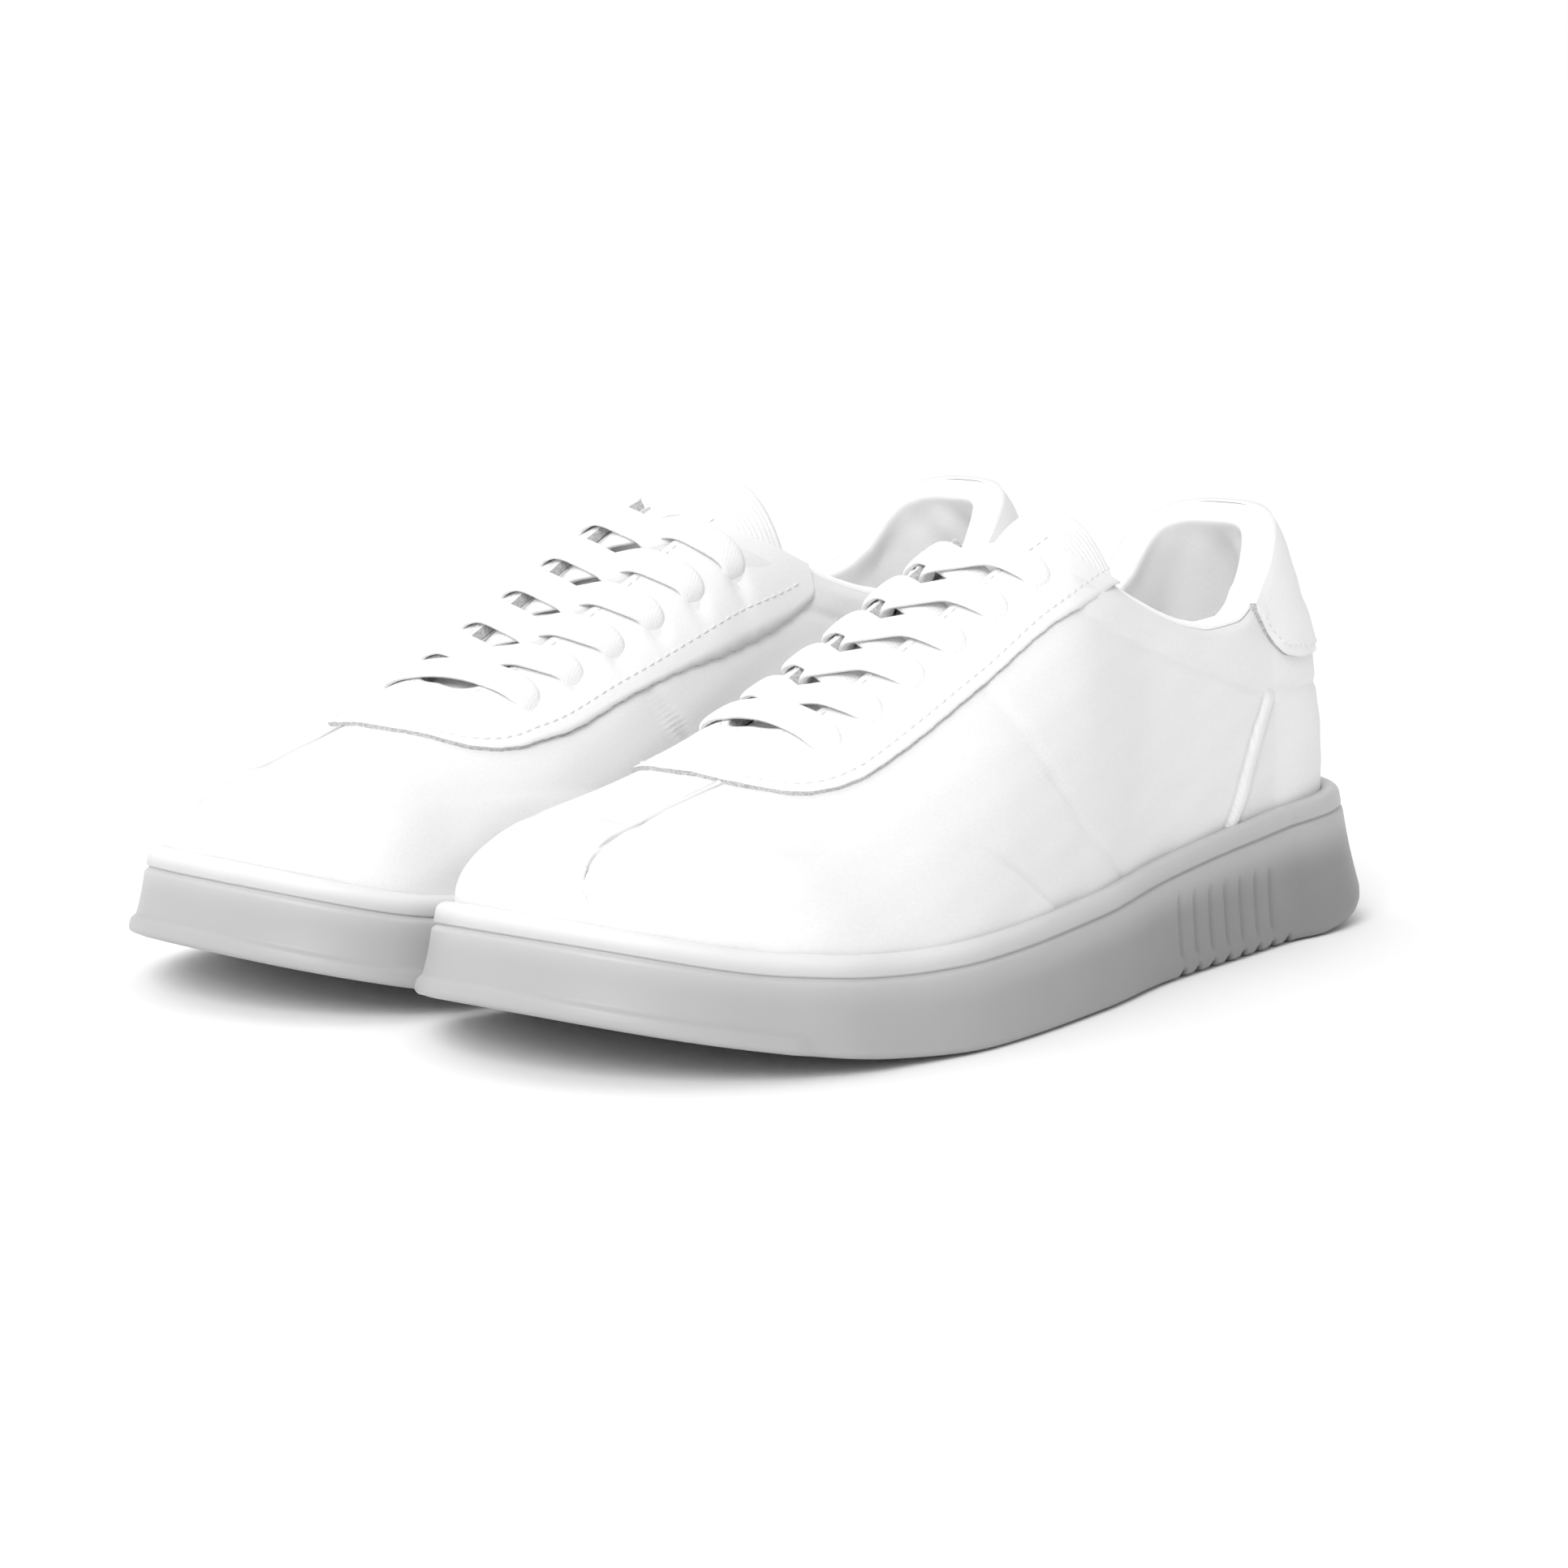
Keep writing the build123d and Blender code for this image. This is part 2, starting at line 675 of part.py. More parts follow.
# ---------------------------------------------------------------- overlays
def make_heel_tab(proud, close):
    """Leather tab over the back seam."""
    region = side_polygon(HEEL_TAB)
    opening = above(TOP_LINE)
    with BuildPart() as tab:
        add(proud)
        add(close, mode=Mode.SUBTRACT)
        add(region, mode=Mode.INTERSECT)
        add(opening, mode=Mode.SUBTRACT)
    return tab.part


def make_eyestay(proud, close):
    """U-shaped lace stay with twelve punched eyelets."""
    plan = eyestay_plan()
    slot = throat()
    opening = above(TOP_LINE)
    holes = eyelet_holes(EYELET_R)
    with BuildPart() as stay:
        add(proud)
        add(close, mode=Mode.SUBTRACT)
        add(plan, mode=Mode.INTERSECT)
        add(slot, mode=Mode.SUBTRACT)
        add(opening, mode=Mode.SUBTRACT)
        add(holes, mode=Mode.SUBTRACT)
    return stay.part


def make_backing():
    """Reinforcing tape under the skin along the lace stay."""
    outer = form(SKIN + GAP)
    inner = form(BACKING)
    plan = eyestay_plan(1.2)
    slot = throat(0.6)
    opening = above(TOP_LINE)
    holes = eyelet_holes(EYELET_R)
    with BuildPart() as backing:
        add(outer)
        add(plan, mode=Mode.INTERSECT)
        add(slot, mode=Mode.SUBTRACT)
        add(opening, mode=Mode.SUBTRACT)
        add(inner, mode=Mode.SUBTRACT)
        add(holes, mode=Mode.SUBTRACT)
    return backing.part


# ---------------------------------------------------------------- tongue
def section_point(x, y, depth):
    """Point below the skin's face, moved within the cross-section at station x."""
    step = 0.5
    z = surface_z(x, y)
    rise = (surface_z(x, y + step) - surface_z(x, y - step)) / (2 * step)
    size = math.hypot(rise, 1.0)
    drop = SLOPE * (depth + collar_pad(x, z))
    return (y + rise / size * drop, z - drop / size)


def arch(x, depth, half):
    """Points of one layer face across the tongue at station x."""
    part = (TONGUE_ROOT - x) / (TONGUE_ROOT - TONGUE_TOP)
    centre = THROAT_Y[0] + (THROAT_Y[1] - THROAT_Y[0]) * part
    return [section_point(x, centre + half * k / 4, depth) for k in range(-4, 5)]


def arched_layer(stations, depths, margin, half=None):
    """Curved sheet under the instep, lofted through cross-sections."""
    with BuildPart() as layer:
        for x in stations:
            part = (TONGUE_ROOT - x) / (TONGUE_ROOT - TONGUE_TOP)
            width = half or TONGUE_HALF[1] + (TONGUE_HALF[0] - TONGUE_HALF[1]) * part - margin
            top, bottom = arch(x, depths[0], width), arch(x, depths[1], width)
            with BuildSketch(Plane((x, 0, 0), x_dir=(0, 1, 0), z_dir=(1, 0, 0))):
                with BuildLine():
                    Spline(*top)
                    Line(top[-1], bottom[-1])
                    Spline(*reversed(bottom))
                    Line(bottom[0], top[0])
                make_face()
        loft()
    return layer.part


def tongue_layer(depths, margin):
    """One layer of the padded tongue."""
    length = TONGUE_ROOT - TONGUE_TOP - 2 * margin
    stations = [TONGUE_TOP + margin + length * k / 8 for k in range(9)]
    return arched_layer(stations, depths, margin)


def cut_clear(piece, *neighbours):
    """A piece less what it shares with the pieces it lies against, without loose slivers."""
    with BuildPart() as rest:
        add(piece)
        for neighbour in neighbours:
            add(neighbour, mode=Mode.SUBTRACT)
    return max(rest.part.solids(), key=lambda solid: solid.volume)


def make_label():
    """Ribbed tape folded over the top of the tongue."""
    start = TONGUE_TOP - LABEL_WRAP
    end = TONGUE_TOP + LABEL_LENGTH
    inner_start = TONGUE_TOP - LABEL_FIT
    tape = arched_layer([start, (start + end) / 2, end], LABEL, 0, LABEL_HALF)
    filling_depths = (TONGUE_FACE[0] - LABEL_FIT, TONGUE_BACK[1] + LABEL_FIT)
    filling = arched_layer([inner_start, (start + end) / 2, end + 1], filling_depths, 0, LABEL_HALF + 2)
    with BuildPart() as label:
        add(tape)
        add(filling, mode=Mode.SUBTRACT)
    return label.part


# ---------------------------------------------------------------- lace
def flat_run(points):
    """Flat lace along a route, its width kept along the instep."""
    instep = on_form(EYELET_X[-1], 0, 0) - on_form(EYELET_X[0], 0, 0)
    with BuildPart() as run:
        with BuildLine() as route:
            FilletPolyline(*points, radius=LACE_BEND)
        start = route.line @ 0
        ahead = route.line % 0
        with BuildSketch(Plane(start, x_dir=instep - ahead * instep.dot(ahead), z_dir=ahead)):
            RectangleRounded(LACE_WIDTH, LACE_THICK, LACE_ROUND)
        sweep(path=route.line)
    return run.part


def throat_edge(row, side):
    """Plan y of the slot's edge beside one eyelet row."""
    part = row / (len(EYELET_X) - 1)
    centre = THROAT_Y[0] + (THROAT_Y[1] - THROAT_Y[0]) * part
    return centre + side * (THROAT_HALF[0] + (THROAT_HALF[1] - THROAT_HALF[0]) * part)


def strand_points(row, side):
    """Route from under one eyelet, up through the slot and over to the next eyelet across."""
    start, end = eyelet(row, side), eyelet(row + 1, -side)
    level = CROSS_OVER if side < 0 else CROSS_UNDER
    low, high = throat_edge(row, side), throat_edge(row, -side)
    heights = [(start[1], UNDER_DEPTH), (low - side * 0.4, UNDER_DEPTH), (low - side * RISE, level),
               (high + side * RISE, level), (high + side * 0.3, OVER_HEIGHT), (end[1], OVER_HEIGHT)]
    points = []
    for y, height in heights:
        part = (y - start[1]) / (end[1] - start[1])
        points.append(on_form(start[0] + (end[0] - start[0]) * part, y, height))
    return points


def knot(x, y, height, radius, thick):
    """Round end of a run, centred on an eyelet."""
    foot = on_form(x, y, height - thick / 2)
    tip = on_form(x, y, height + thick / 2)
    with BuildPart() as disc:
        with BuildSketch(Plane(foot, z_dir=tip - foot)):
            Circle(radius)
        extrude(amount=(tip - foot).length)
    return disc.part


def tail_points(side):
    """Route of a tucked end, from the top eyelet forwards under the lace stay."""
    x, y = eyelet(len(EYELET_X) - 1, side)
    out = y + side * TAIL_SIDE
    drift = side * 0.02
    stations = (x + TAIL_SIDE, x + TAIL_SIDE + TAIL_LENGTH, x + TAIL_SIDE + TAIL_LENGTH + AGLET_LENGTH)
    points = [on_form(x, y, UNDER_DEPTH)]
    points += [on_form(s, out + drift * (s - x), UNDER_DEPTH) for s in stations]
    return points


def rod(start, end, radius):
    """Straight round rod between two points."""
    with BuildPart() as body:
        with BuildSketch(Plane(start, z_dir=end - start)):
            Circle(radius)
        extrude(amount=(end - start).length)
    return body.part


def make_aglet(side):
    """Thin sleeve on one end of the lace."""
    points = tail_points(side)
    outer = rod(points[2], points[3], TAIL_R)
    inner = rod(points[2], points[3], TAIL_R - AGLET_WALL)
    with BuildPart() as sleeve:
        add(outer)
        add(inner, mode=Mode.SUBTRACT)
    return sleeve.part


def make_lace():
    """One lace: a straight bar at the front, five crossings, and both ends tucked in."""
    runs = []
    left, right = eyelet(0, 1), eyelet(0, -1)
    edge = throat_edge(0, 1)
    bar = [(left[1], OVER_HEIGHT), (edge - 3, BAR_LIFT), (THROAT_Y[0], BAR_LIFT),
           (throat_edge(0, -1) + 3, BAR_LIFT), (right[1], OVER_HEIGHT)]
    runs.append(flat_run([on_form(left[0], y, height) for y, height in bar]))
    last = len(EYELET_X) - 1
    for row in range(last + 1):
        for side in (1, -1):
            x, y = eyelet(row, side)
            reach = OVER_HEIGHT - UNDER_DEPTH
            runs.append(knot(x, y, (OVER_HEIGHT + UNDER_DEPTH) / 2, LACE_CORE_R, reach))
            runs.append(knot(x, y, OVER_HEIGHT, LACE_WIDTH / 2, LACE_THICK))
            if row < last:
                runs.append(knot(x, y, UNDER_DEPTH, LACE_WIDTH / 2, LACE_THICK))
                runs.append(flat_run(strand_points(row, side)))
    for side in (1, -1):
        points = tail_points(side)
        x, y = eyelet(last, side)
        runs.append(knot(x, y, UNDER_DEPTH, LACE_CORE_R, 2 * TAIL_R))
        runs.append(rod(points[0], points[1], TAIL_R))
        runs.append(rod(points[1], points[2], TAIL_R))
        runs.append(rod(points[2], points[3], TAIL_R - AGLET_WALL - 0.03))
    with BuildPart() as lace:
        for run in runs:
            add(run, clean=False)
    return lace.part


# ---------------------------------------------------------------- the pair
def make_pieces():
    """Every piece of the left shoe in its own frame, by name."""
    proud = form(-OVERLAY)
    close = form(-0.05)
    pieces = {}
    pieces["outsole"] = make_outsole(form(-CUP_FIT))
    pieces["midsole_insert"] = make_midsole()
    pieces["bottom_filler"] = flat_layer(LASTING + 0.1, -FLANGE_STACK + 0.1, -BOARD - 0.1)
    pieces["insole_board"] = flat_layer(SKIN + 0.15, -BOARD, 0.0)
    pieces["footbed"] = flat_layer(LINING_IN + 0.15, 0.1, FOOTBED)
    pieces["vamp"] = make_skin(ahead_of_seam(GAP))
    pieces["outer_quarter"] = make_skin(behind_seam(-GAP, BACK_SEAM_Y + GAP / 2, 90))
    pieces["inner_quarter"] = make_skin(behind_seam(-GAP, -90, BACK_SEAM_Y - GAP / 2))
    pieces["heel_counter"] = make_counter()
    pieces["guard_core"] = make_guard_core()
    pieces["toe_puff"] = make_puff()
    pieces["collar_foam"] = make_foam()
    pieces["collar_lining"] = make_lining(slab(-20, 135), make_roll())
    pieces["forefoot_lining"] = make_lining(slab(135.2, 330))
    pieces["heel_tab"] = make_heel_tab(proud, close)
    pieces["eyestay"] = make_eyestay(proud, close)
    pieces["eyestay_backing"] = make_backing()
    pieces["tongue_face"] = tongue_layer(TONGUE_FACE, 0.0)
    pieces["tongue_back"] = tongue_layer(TONGUE_BACK, 0.0)
    pieces["tongue_foam"] = cut_clear(tongue_layer(TONGUE_FOAM, 1.5), pieces["tongue_face"])
    pieces["tongue_label"] = cut_clear(make_label(), pieces["tongue_face"], pieces["tongue_back"])
    pieces["lace"] = make_lace()
    pieces["outer_aglet"] = make_aglet(1)
    pieces["inner_aglet"] = make_aglet(-1)
    return pieces


def hand_over(piece, name):
    """Place a piece in both shoes and write its files."""
    turn = Location((TURN_X, 0, 0)) * Location((0, 0, 0), (0, 0, TOE_OUT)) * Location((-TURN_X, 0, 0))
    place = Location((PAIR_SHIFT_X - TURN_X, PAIR_HALF_GAP, 0)) * turn
    placed = piece.moved(place)
    with BuildPart() as left:
        add(placed)
    with BuildPart() as right:
        add(mirror(placed, about=Plane.XZ, mode=Mode.PRIVATE))
    left.part.label = "left_" + name
    export_step(left.part, "parts/left_" + name + ".step", write_pcurves=False)
    right.part.label = "right_" + name
    export_step(right.part, "parts/right_" + name + ".step", write_pcurves=False)
    box = left.part.bounding_box()
    print(f"{name:18s} {left.part.volume:10.1f} mm3  solids {len(left.part.solids())}"
          f"  valid {left.part.is_valid}  x {box.min.X:.1f} {box.max.X:.1f}"
          f"  y {box.min.Y:.1f} {box.max.Y:.1f}  z {box.min.Z:.1f} {box.max.Z:.1f}")


os.makedirs("parts", exist_ok=True)
for piece_name, piece in make_pieces().items():
    hand_over(piece, piece_name)
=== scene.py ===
"""Pair of low white sneakers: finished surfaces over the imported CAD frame, in metres."""
import math

import bpy
import numpy as np
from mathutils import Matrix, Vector


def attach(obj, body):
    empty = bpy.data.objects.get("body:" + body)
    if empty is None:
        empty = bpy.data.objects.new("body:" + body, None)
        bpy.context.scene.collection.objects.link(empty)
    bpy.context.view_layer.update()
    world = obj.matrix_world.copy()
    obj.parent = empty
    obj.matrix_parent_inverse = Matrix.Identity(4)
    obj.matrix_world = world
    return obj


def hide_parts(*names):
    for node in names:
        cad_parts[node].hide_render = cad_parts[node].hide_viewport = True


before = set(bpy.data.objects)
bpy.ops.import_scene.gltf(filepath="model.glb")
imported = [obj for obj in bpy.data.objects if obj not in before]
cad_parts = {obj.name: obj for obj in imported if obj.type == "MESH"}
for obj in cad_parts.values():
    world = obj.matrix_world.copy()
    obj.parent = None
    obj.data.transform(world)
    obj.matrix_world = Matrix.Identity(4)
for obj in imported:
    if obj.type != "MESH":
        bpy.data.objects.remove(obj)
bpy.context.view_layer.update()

MM = 0.001

# ---------------------------------------------------------------- shape of the shoe, in its own frame (mm)
TURN_X, TOE_OUT, HALF_GAP, SHIFT_X = 150.0, math.radians(3.075), 55.5, 0.7
HEEL_BACK, TOE_TIP, HEEL_END, HEEL_BLEND, TOE_START = 4.0, 294.5, 44.0, 84.0, 235.0
HEEL_HALF, TOE_HALF, HEEL_POWER, TOE_POWER, SLOPE = 26.5, 50.0, 2.5, 2.2, 1.1
RIM_OUT = 4.0
SPRING_START, SPRING_LENGTH, TOE_SPRING = 197.0, 101.0, 14.2
THROAT_FRONT = 222.0
THROAT_HALF, THROAT_Y = (11.0, 13.0), (-3.0, 2.6)
EYELET_X = (211.0, 196.6, 182.4, 168.4, 154.2, 139.6)
EYELET_HALF, EYELET_Y = (21.6, 22.4), (-2.6, 2.2)
EYELET_LEAN, EYELET_SPREAD = 4.4, {1: 1.2, -1: 2.8}
OVERLAY = 1.35


class Curve:
    """Smooth curve through (station, value) pairs, with no overshoot."""

    def __init__(self, table):
        xs = np.array([p[0] for p in table], float)
        ys = np.array([p[1] for p in table], float)
        widths = np.diff(xs)
        slopes = np.diff(ys) / widths
        both = slopes[:-1] * slopes[1:]
        total = slopes[:-1] + slopes[1:]
        inner = np.where(both > 0, 2 * both / np.where(total == 0, 1, total), 0)
        ends = np.concatenate([[slopes[0]], inner, [slopes[-1]]])
        t = np.linspace(0, 1, 41)[:, None]
        rise = (2 * t - 3) * t * t
        fine = ((1 + rise) * ys[:-1] + ((t - 2) * t + 1) * t * widths * ends[:-1]
                - rise * ys[1:] + (t - 1) * t * t * widths * ends[1:])
        self.x = (xs[:-1] + t * widths).T.ravel()
        self.y = fine.T.ravel()

    def __call__(self, at):
        return np.interp(at, self.x, self.y)


CENTRE = Curve([(0, -1), (30, -3), (65, -1), (110, 3), (150, 6), (190, 4.5), (215, 2), (245, -1),
                (270, -6), (290, -7), (300, -7)])
HALF_WIDTH = Curve([(20, 24), (44, 26.5), (65, 29), (110, 32), (150, 39), (190, 47), (215, 50.5),
                    (235, 50)])
RIM_TOP = Curve([(-14, 37.4), (0, 36.8), (70, 33.6), (150, 27.8), (220, 25.4), (260, 28.5),
                 (298, 37.1), (314, 41.5)])
RIDGE = Curve([(0, 155), (60, 143), (100, 125), (120, 117.5), (140, 109), (175, 90.5), (210, 73.5),
               (225, 67.6), (243, 61.6), (260, 57.4), (272, 53.8), (282, 50), (289, 46),
               (292.5, 42.5), (294.5, 37)])
ROUNDNESS = Curve([(0, 3), (60, 3), (110, 3.2), (140, 4), (175, 3), (210, 2.2), (243, 2), (300, 2)])
FULL_OUT = Curve([(0, 0.5), (140, 0.5), (175, 0.53), (210, 0.58), (243, 0.64), (270, 0.64), (300, 0.6)])
FULL_IN = Curve([(0, 0.5), (140, 0.5), (175, 0.5), (210, 0.47), (243, 0.42), (270, 0.4), (300, 0.4)])
HEEL_LEAN = Curve([(0, 4.6), (8, 4.6), (36, 4), (50, 4.3), (60, 6), (74, 11), (85, 15), (96, 20),
                   (105, 25), (112, 30), (126, 41)])
TOP_LINE = Curve([(-20, 113), (20, 113), (30, 112.4), (37, 109), (43, 103.5), (49, 96), (56, 89.5),
                  (65, 86.6), (78, 86.2), (90, 88), (101, 91.5), (111, 96), (119, 100.2),
                  (129, 105.5), (134, 112), (135, 130)])
COLLAR_LINE = Curve([(-20, 64), (30, 64.5), (47, 65.5), (81, 74), (107, 82), (127, 89), (140, 95),
                     (150, 101)])
INSOLE = Curve([(-14, 25.4), (0, 25), (60, 24), (100, 21), (150, 16.5), (200, 13.5), (240, 14),
                (270, 18.4), (298, 26.5), (314, 31)])
SOLE_LEAN = Curve([(-14, 8), (8, 7.5), (30, 5), (60, 2.4), (110, 2.4), (200, 3.9), (260, 5), (314, 5)])
GUARD_TOP = Curve([(158, 14), (165, 25), (174, 32), (186, 39.5), (196, 44.5), (212, 47), (242, 48),
                   (260, 49.5), (268, 54), (271, 62)])
STEM_OUT = Curve([(222, 7), (241, 8), (256, 10), (274, 11)])
STEM_IN = Curve([(222, -22), (247, -22.5), (259, -27), (274, -31)])
HEEL_LOW = Curve([(-30, 24), (-13, 14), (-7, 9), (1, 4.6), (12, 1.4), (30, 0)])
EYESTAY_EDGE = [(112, 27), (119, 28.5), (145, 33), (167, 33.2), (190, 32.4), (212, 31), (222, 29),
                (230, 25), (236.5, 17), (240, 8), (240.6, -3), (239.5, -12), (236, -22), (229, -31),
                (217, -35), (206, -35), (190, -33.6), (174, -32.2), (150, -30), (124, -27),
                (112, -24.5)]


def smooth(value):
    t = np.clip(value, 0.0, 1.0)
    return t * t * (3 - 2 * t)


def ground(x):
    """Height of the tread at a station."""
    spring = np.clip((x - SPRING_START) / SPRING_LENGTH, 0, None)
    return np.where(x < 30, HEEL_LOW(x), TOE_SPRING * spring * spring)


def base_half(x, inset):
    """Half width of the upper at the sole."""
    back = np.clip((HEEL_END - x) / (HEEL_END - HEEL_BACK), 0, 1)
    front = np.clip((x - TOE_START) / (TOE_TIP - inset - TOE_START), 0, 1)
    heel = (HEEL_HALF - inset) * np.sqrt(1 - back ** HEEL_POWER)
    toe = (TOE_HALF - inset) * np.sqrt(1 - front ** TOE_POWER)
    return np.where(x < HEEL_END, heel, np.where(x > TOE_START, toe, HALF_WIDTH(x) - inset))


def half_width(x, z, inset, side):
    """Half width of the upper at station x and height z; negative outside it."""
    back = HEEL_LEAN(z) + inset
    station = np.where(x < HEEL_BLEND, HEEL_BACK + (x - back) / (HEEL_BLEND - back)
                       * (HEEL_BLEND - HEEL_BACK), x)
    rim = RIM_TOP(x)
    top = RIDGE(x) - SLOPE * inset
    rise = np.clip((z - rim) / np.maximum(top - rim, 0.5), 0, 1)
    power = np.where(side > 0, FULL_OUT(x), FULL_IN(x))
    width = base_half(station, inset) * (1 - rise ** ROUNDNESS(x)) ** power
    return np.where((x < back) | (z >= np.maximum(top, rim)), -1.0, width)


def front_of(z, inset):
    """Foremost station of the upper at each height."""
    z = np.atleast_1d(np.asarray(z, float))
    low = np.full(z.shape, HEEL_END)
    high = np.full(z.shape, TOE_TIP - inset - 1e-4)
    ok = half_width(high, z, inset, 1) > 0
    a, b = low.copy(), high.copy()
    for _ in range(40):
        m = (a + b) / 2
        inside = half_width(m, z, inset, 1) > 0
        a = np.where(inside, m, a)
        b = np.where(inside, b, m)
    return np.where(ok, high, a)


def ring_points(angles, z, inset):
    """Points at angles round each level: 0 is the heel, pi the toe, then back along the inside.

    angles has shape (columns,) and z has shape (rows, columns) or (rows, 1).
    """
    angles = np.asarray(angles)[None, :]
    z = np.asarray(z, float)
    front = front_of(z.ravel(), inset).reshape(z.shape)
    back = HEEL_LEAN(z) + inset
    x = (back + front) / 2 - (front - back) / 2 * np.cos(angles)
    side = np.where(np.sin(angles) >= 0, 1, -1) * np.ones_like(x)
    width = np.maximum(half_width(x, np.broadcast_to(z, x.shape), inset, side), 0.0)
    y = CENTRE(x) + side * width
    return np.stack([x, y, np.broadcast_to(z, x.shape)], -1)


def surface_z(x, y):
    """Height of the skin's face over plan position x, y."""
    side = y - CENTRE(x)
    power = np.where(side > 0, FULL_OUT(x), FULL_IN(x))
    share = np.clip(np.abs(side) / np.maximum(base_half(x, 0.0), 0.1), 0, 1)
    rim = RIM_TOP(x)
    rise = (1 - share ** (1 / power)) ** (1 / ROUNDNESS(x))
    return rim + (RIDGE(x) - rim) * rise


def over(x, y, height):
    """Points at a height above the skin's face over plan positions."""
    x, y, height = np.broadcast_arrays(np.asarray(x, float), np.asarray(y, float),
                                       np.asarray(height, float))
    step = 0.6
    dx = (surface_z(x + step, y) - surface_z(x - step, y)) / (2 * step)
    dy = (surface_z(x, y + step) - surface_z(x, y - step)) / (2 * step)
    normal = np.stack([-dx, -dy, np.ones_like(dx)], -1)
    normal /= np.linalg.norm(normal, axis=-1, keepdims=True)
    return np.stack([x, y, surface_z(x, y)], -1) + normal * height[..., None]


# ---------------------------------------------------------------- placing and meshes
def place(points, side):
    """Shoe frame in mm to the pair's frame in metres."""
    p = np.asarray(points, float)
    x, y = p[..., 0] - TURN_X, p[..., 1]
    c, s = math.cos(TOE_OUT), math.sin(TOE_OUT)
    out = np.stack([x * c - y * s + SHIFT_X, (x * s + y * c + HALF_GAP) * side, p[..., 2]], -1)
    return out * MM


def make_mesh(name, verts, faces, side, uvs=None):
    """Mesh object from shoe-frame vertices; faces are mirrored with the shoe."""
    if side < 0:
        faces = [f[::-1] for f in faces]
    mesh = bpy.data.meshes.new(name)
    mesh.from_pydata(place(verts, side).tolist(), [], faces)
    if uvs is not None:
        layer = mesh.uv_layers.new(name="UVMap")
        index = np.empty(len(mesh.loops), np.int32)
        mesh.loops.foreach_get("vertex_index", index)
        layer.data.foreach_set("uv", np.asarray(uvs, float)[index].ravel())
    mesh.polygons.foreach_set("use_smooth", [True] * len(mesh.polygons))
    mesh.update()
    piece = bpy.data.objects.new(name, mesh)
    bpy.context.scene.collection.objects.link(piece)
    return piece


def grid_faces(rows, cols, closed=False, offset=0):
    """Quads of a grid of rows by columns."""
    faces = []
    last = cols if closed else cols - 1
    for r in range(rows - 1):
        for c in range(last):
            a = offset + r * cols + c
            b = offset + r * cols + (c + 1) % cols
            faces.append((a, b, b + cols, a + cols))
    return faces


def row_lengths(points, axis):
    """Running length in mm along one axis of a grid of points."""
    steps = np.linalg.norm(np.diff(points, axis=axis), axis=-1)
    pad = [(0, 0), (0, 0)]
    pad[axis] = (1, 0)
    return np.pad(np.cumsum(steps, axis=axis), pad)


def grid_piece(name, points, side, closed=False):
    """Sheet over a grid of points; UVs are running lengths in metres."""
    rows, cols = points.shape[:2]
    uv = np.stack([row_lengths(points, 1), row_lengths(points, 0)], -1)
    return make_mesh(name, points.reshape(-1, 3), grid_faces(rows, cols, closed), side,
                     uv.reshape(-1, 2) * MM)


def normals_of(points, closed=False):
    """Unit normals of a grid of points (columns cross rows)."""
    if closed:
        along = np.roll(points, -1, 1) - np.roll(points, 1, 1)
    else:
        along = np.gradient(points, axis=1)
    up = np.gradient(points, axis=0)
    normal = np.cross(along, up)
    return normal / np.maximum(np.linalg.norm(normal, axis=-1, keepdims=True), 1e-9)


def resample(points, count):
    """Points at equal steps along a polyline."""
    steps = np.linalg.norm(np.diff(points, axis=0), axis=1)
    run = np.concatenate([[0], np.cumsum(steps)])
    at = np.linspace(0, run[-1], count)
    return np.stack([np.interp(at, run, points[:, k]) for k in range(3)], -1)


def tube(path, widths, normals, thick, sides, power=2.0):
    """Closed oval tube along a path; widths and thicknesses are per point."""
    tangent = np.gradient(path, axis=0)
    tangent /= np.linalg.norm(tangent, axis=1, keepdims=True)
    across = np.cross(normals, tangent)
    across /= np.linalg.norm(across, axis=1, keepdims=True)
    up = np.cross(tangent, across)
    angle = np.linspace(0, 2 * math.pi, sides, endpoint=False)
    c, s = np.cos(angle), np.sin(angle)
    c = np.sign(c) * np.abs(c) ** (2 / power)
    s = np.sign(s) * np.abs(s) ** (2 / power)
    return (path[:, None] + across[:, None] * (c[None, :, None] * widths[:, None, None] / 2)
            + up[:, None] * (s[None, :, None] * thick[:, None, None] / 2))


def join_grids(grids, closed):
    """Vertices, faces and UVs of several grids in one mesh."""
    verts, faces, uvs, count = [], [], [], 0
    for grid in grids:
        rows, cols = grid.shape[:2]
        verts.append(grid.reshape(-1, 3))
        faces += grid_faces(rows, cols, closed, offset=count)
        if closed:
            start, end = count, count + (rows - 1) * cols
            faces.append(tuple(range(start, start + cols))[::-1])
            faces.append(tuple(range(end, end + cols)))
        uv = np.stack([row_lengths(grid, 1), row_lengths(grid, 0)], -1)
        uvs.append(uv.reshape(-1, 2) * MM)
        count += rows * cols
    return np.concatenate(verts), faces, np.concatenate(uvs)


def side_name(side, name):
    """Name with the shoe it belongs to."""
    return ("left_" if side > 0 else "right_") + name


# ---------------------------------------------------------------- sole
BEAD, GROOVE = 5.2, 0.8
FLUTE_STATIONS, FLUTE_SIZE = range(56, 107, 8), 1.15
LUG_STATIONS, TREAD_STATIONS = range(48, 105, 8), range(140, 273, 8)
LUG_DEPTH, LUG_HALF = 1.6, 1.5
LOW_CORNER, HEEL_CORNER = 2.2, 5.6
BEAD_STEP, WALL_ROWS = 0.9, 26
SOLE_COLUMNS = 1100
BOTTOM_ROWS = (0.02, 0.06, 0.11, 0.13, 0.2, 0.35, 0.5, 0.65, 0.8, 0.92, 1.0)


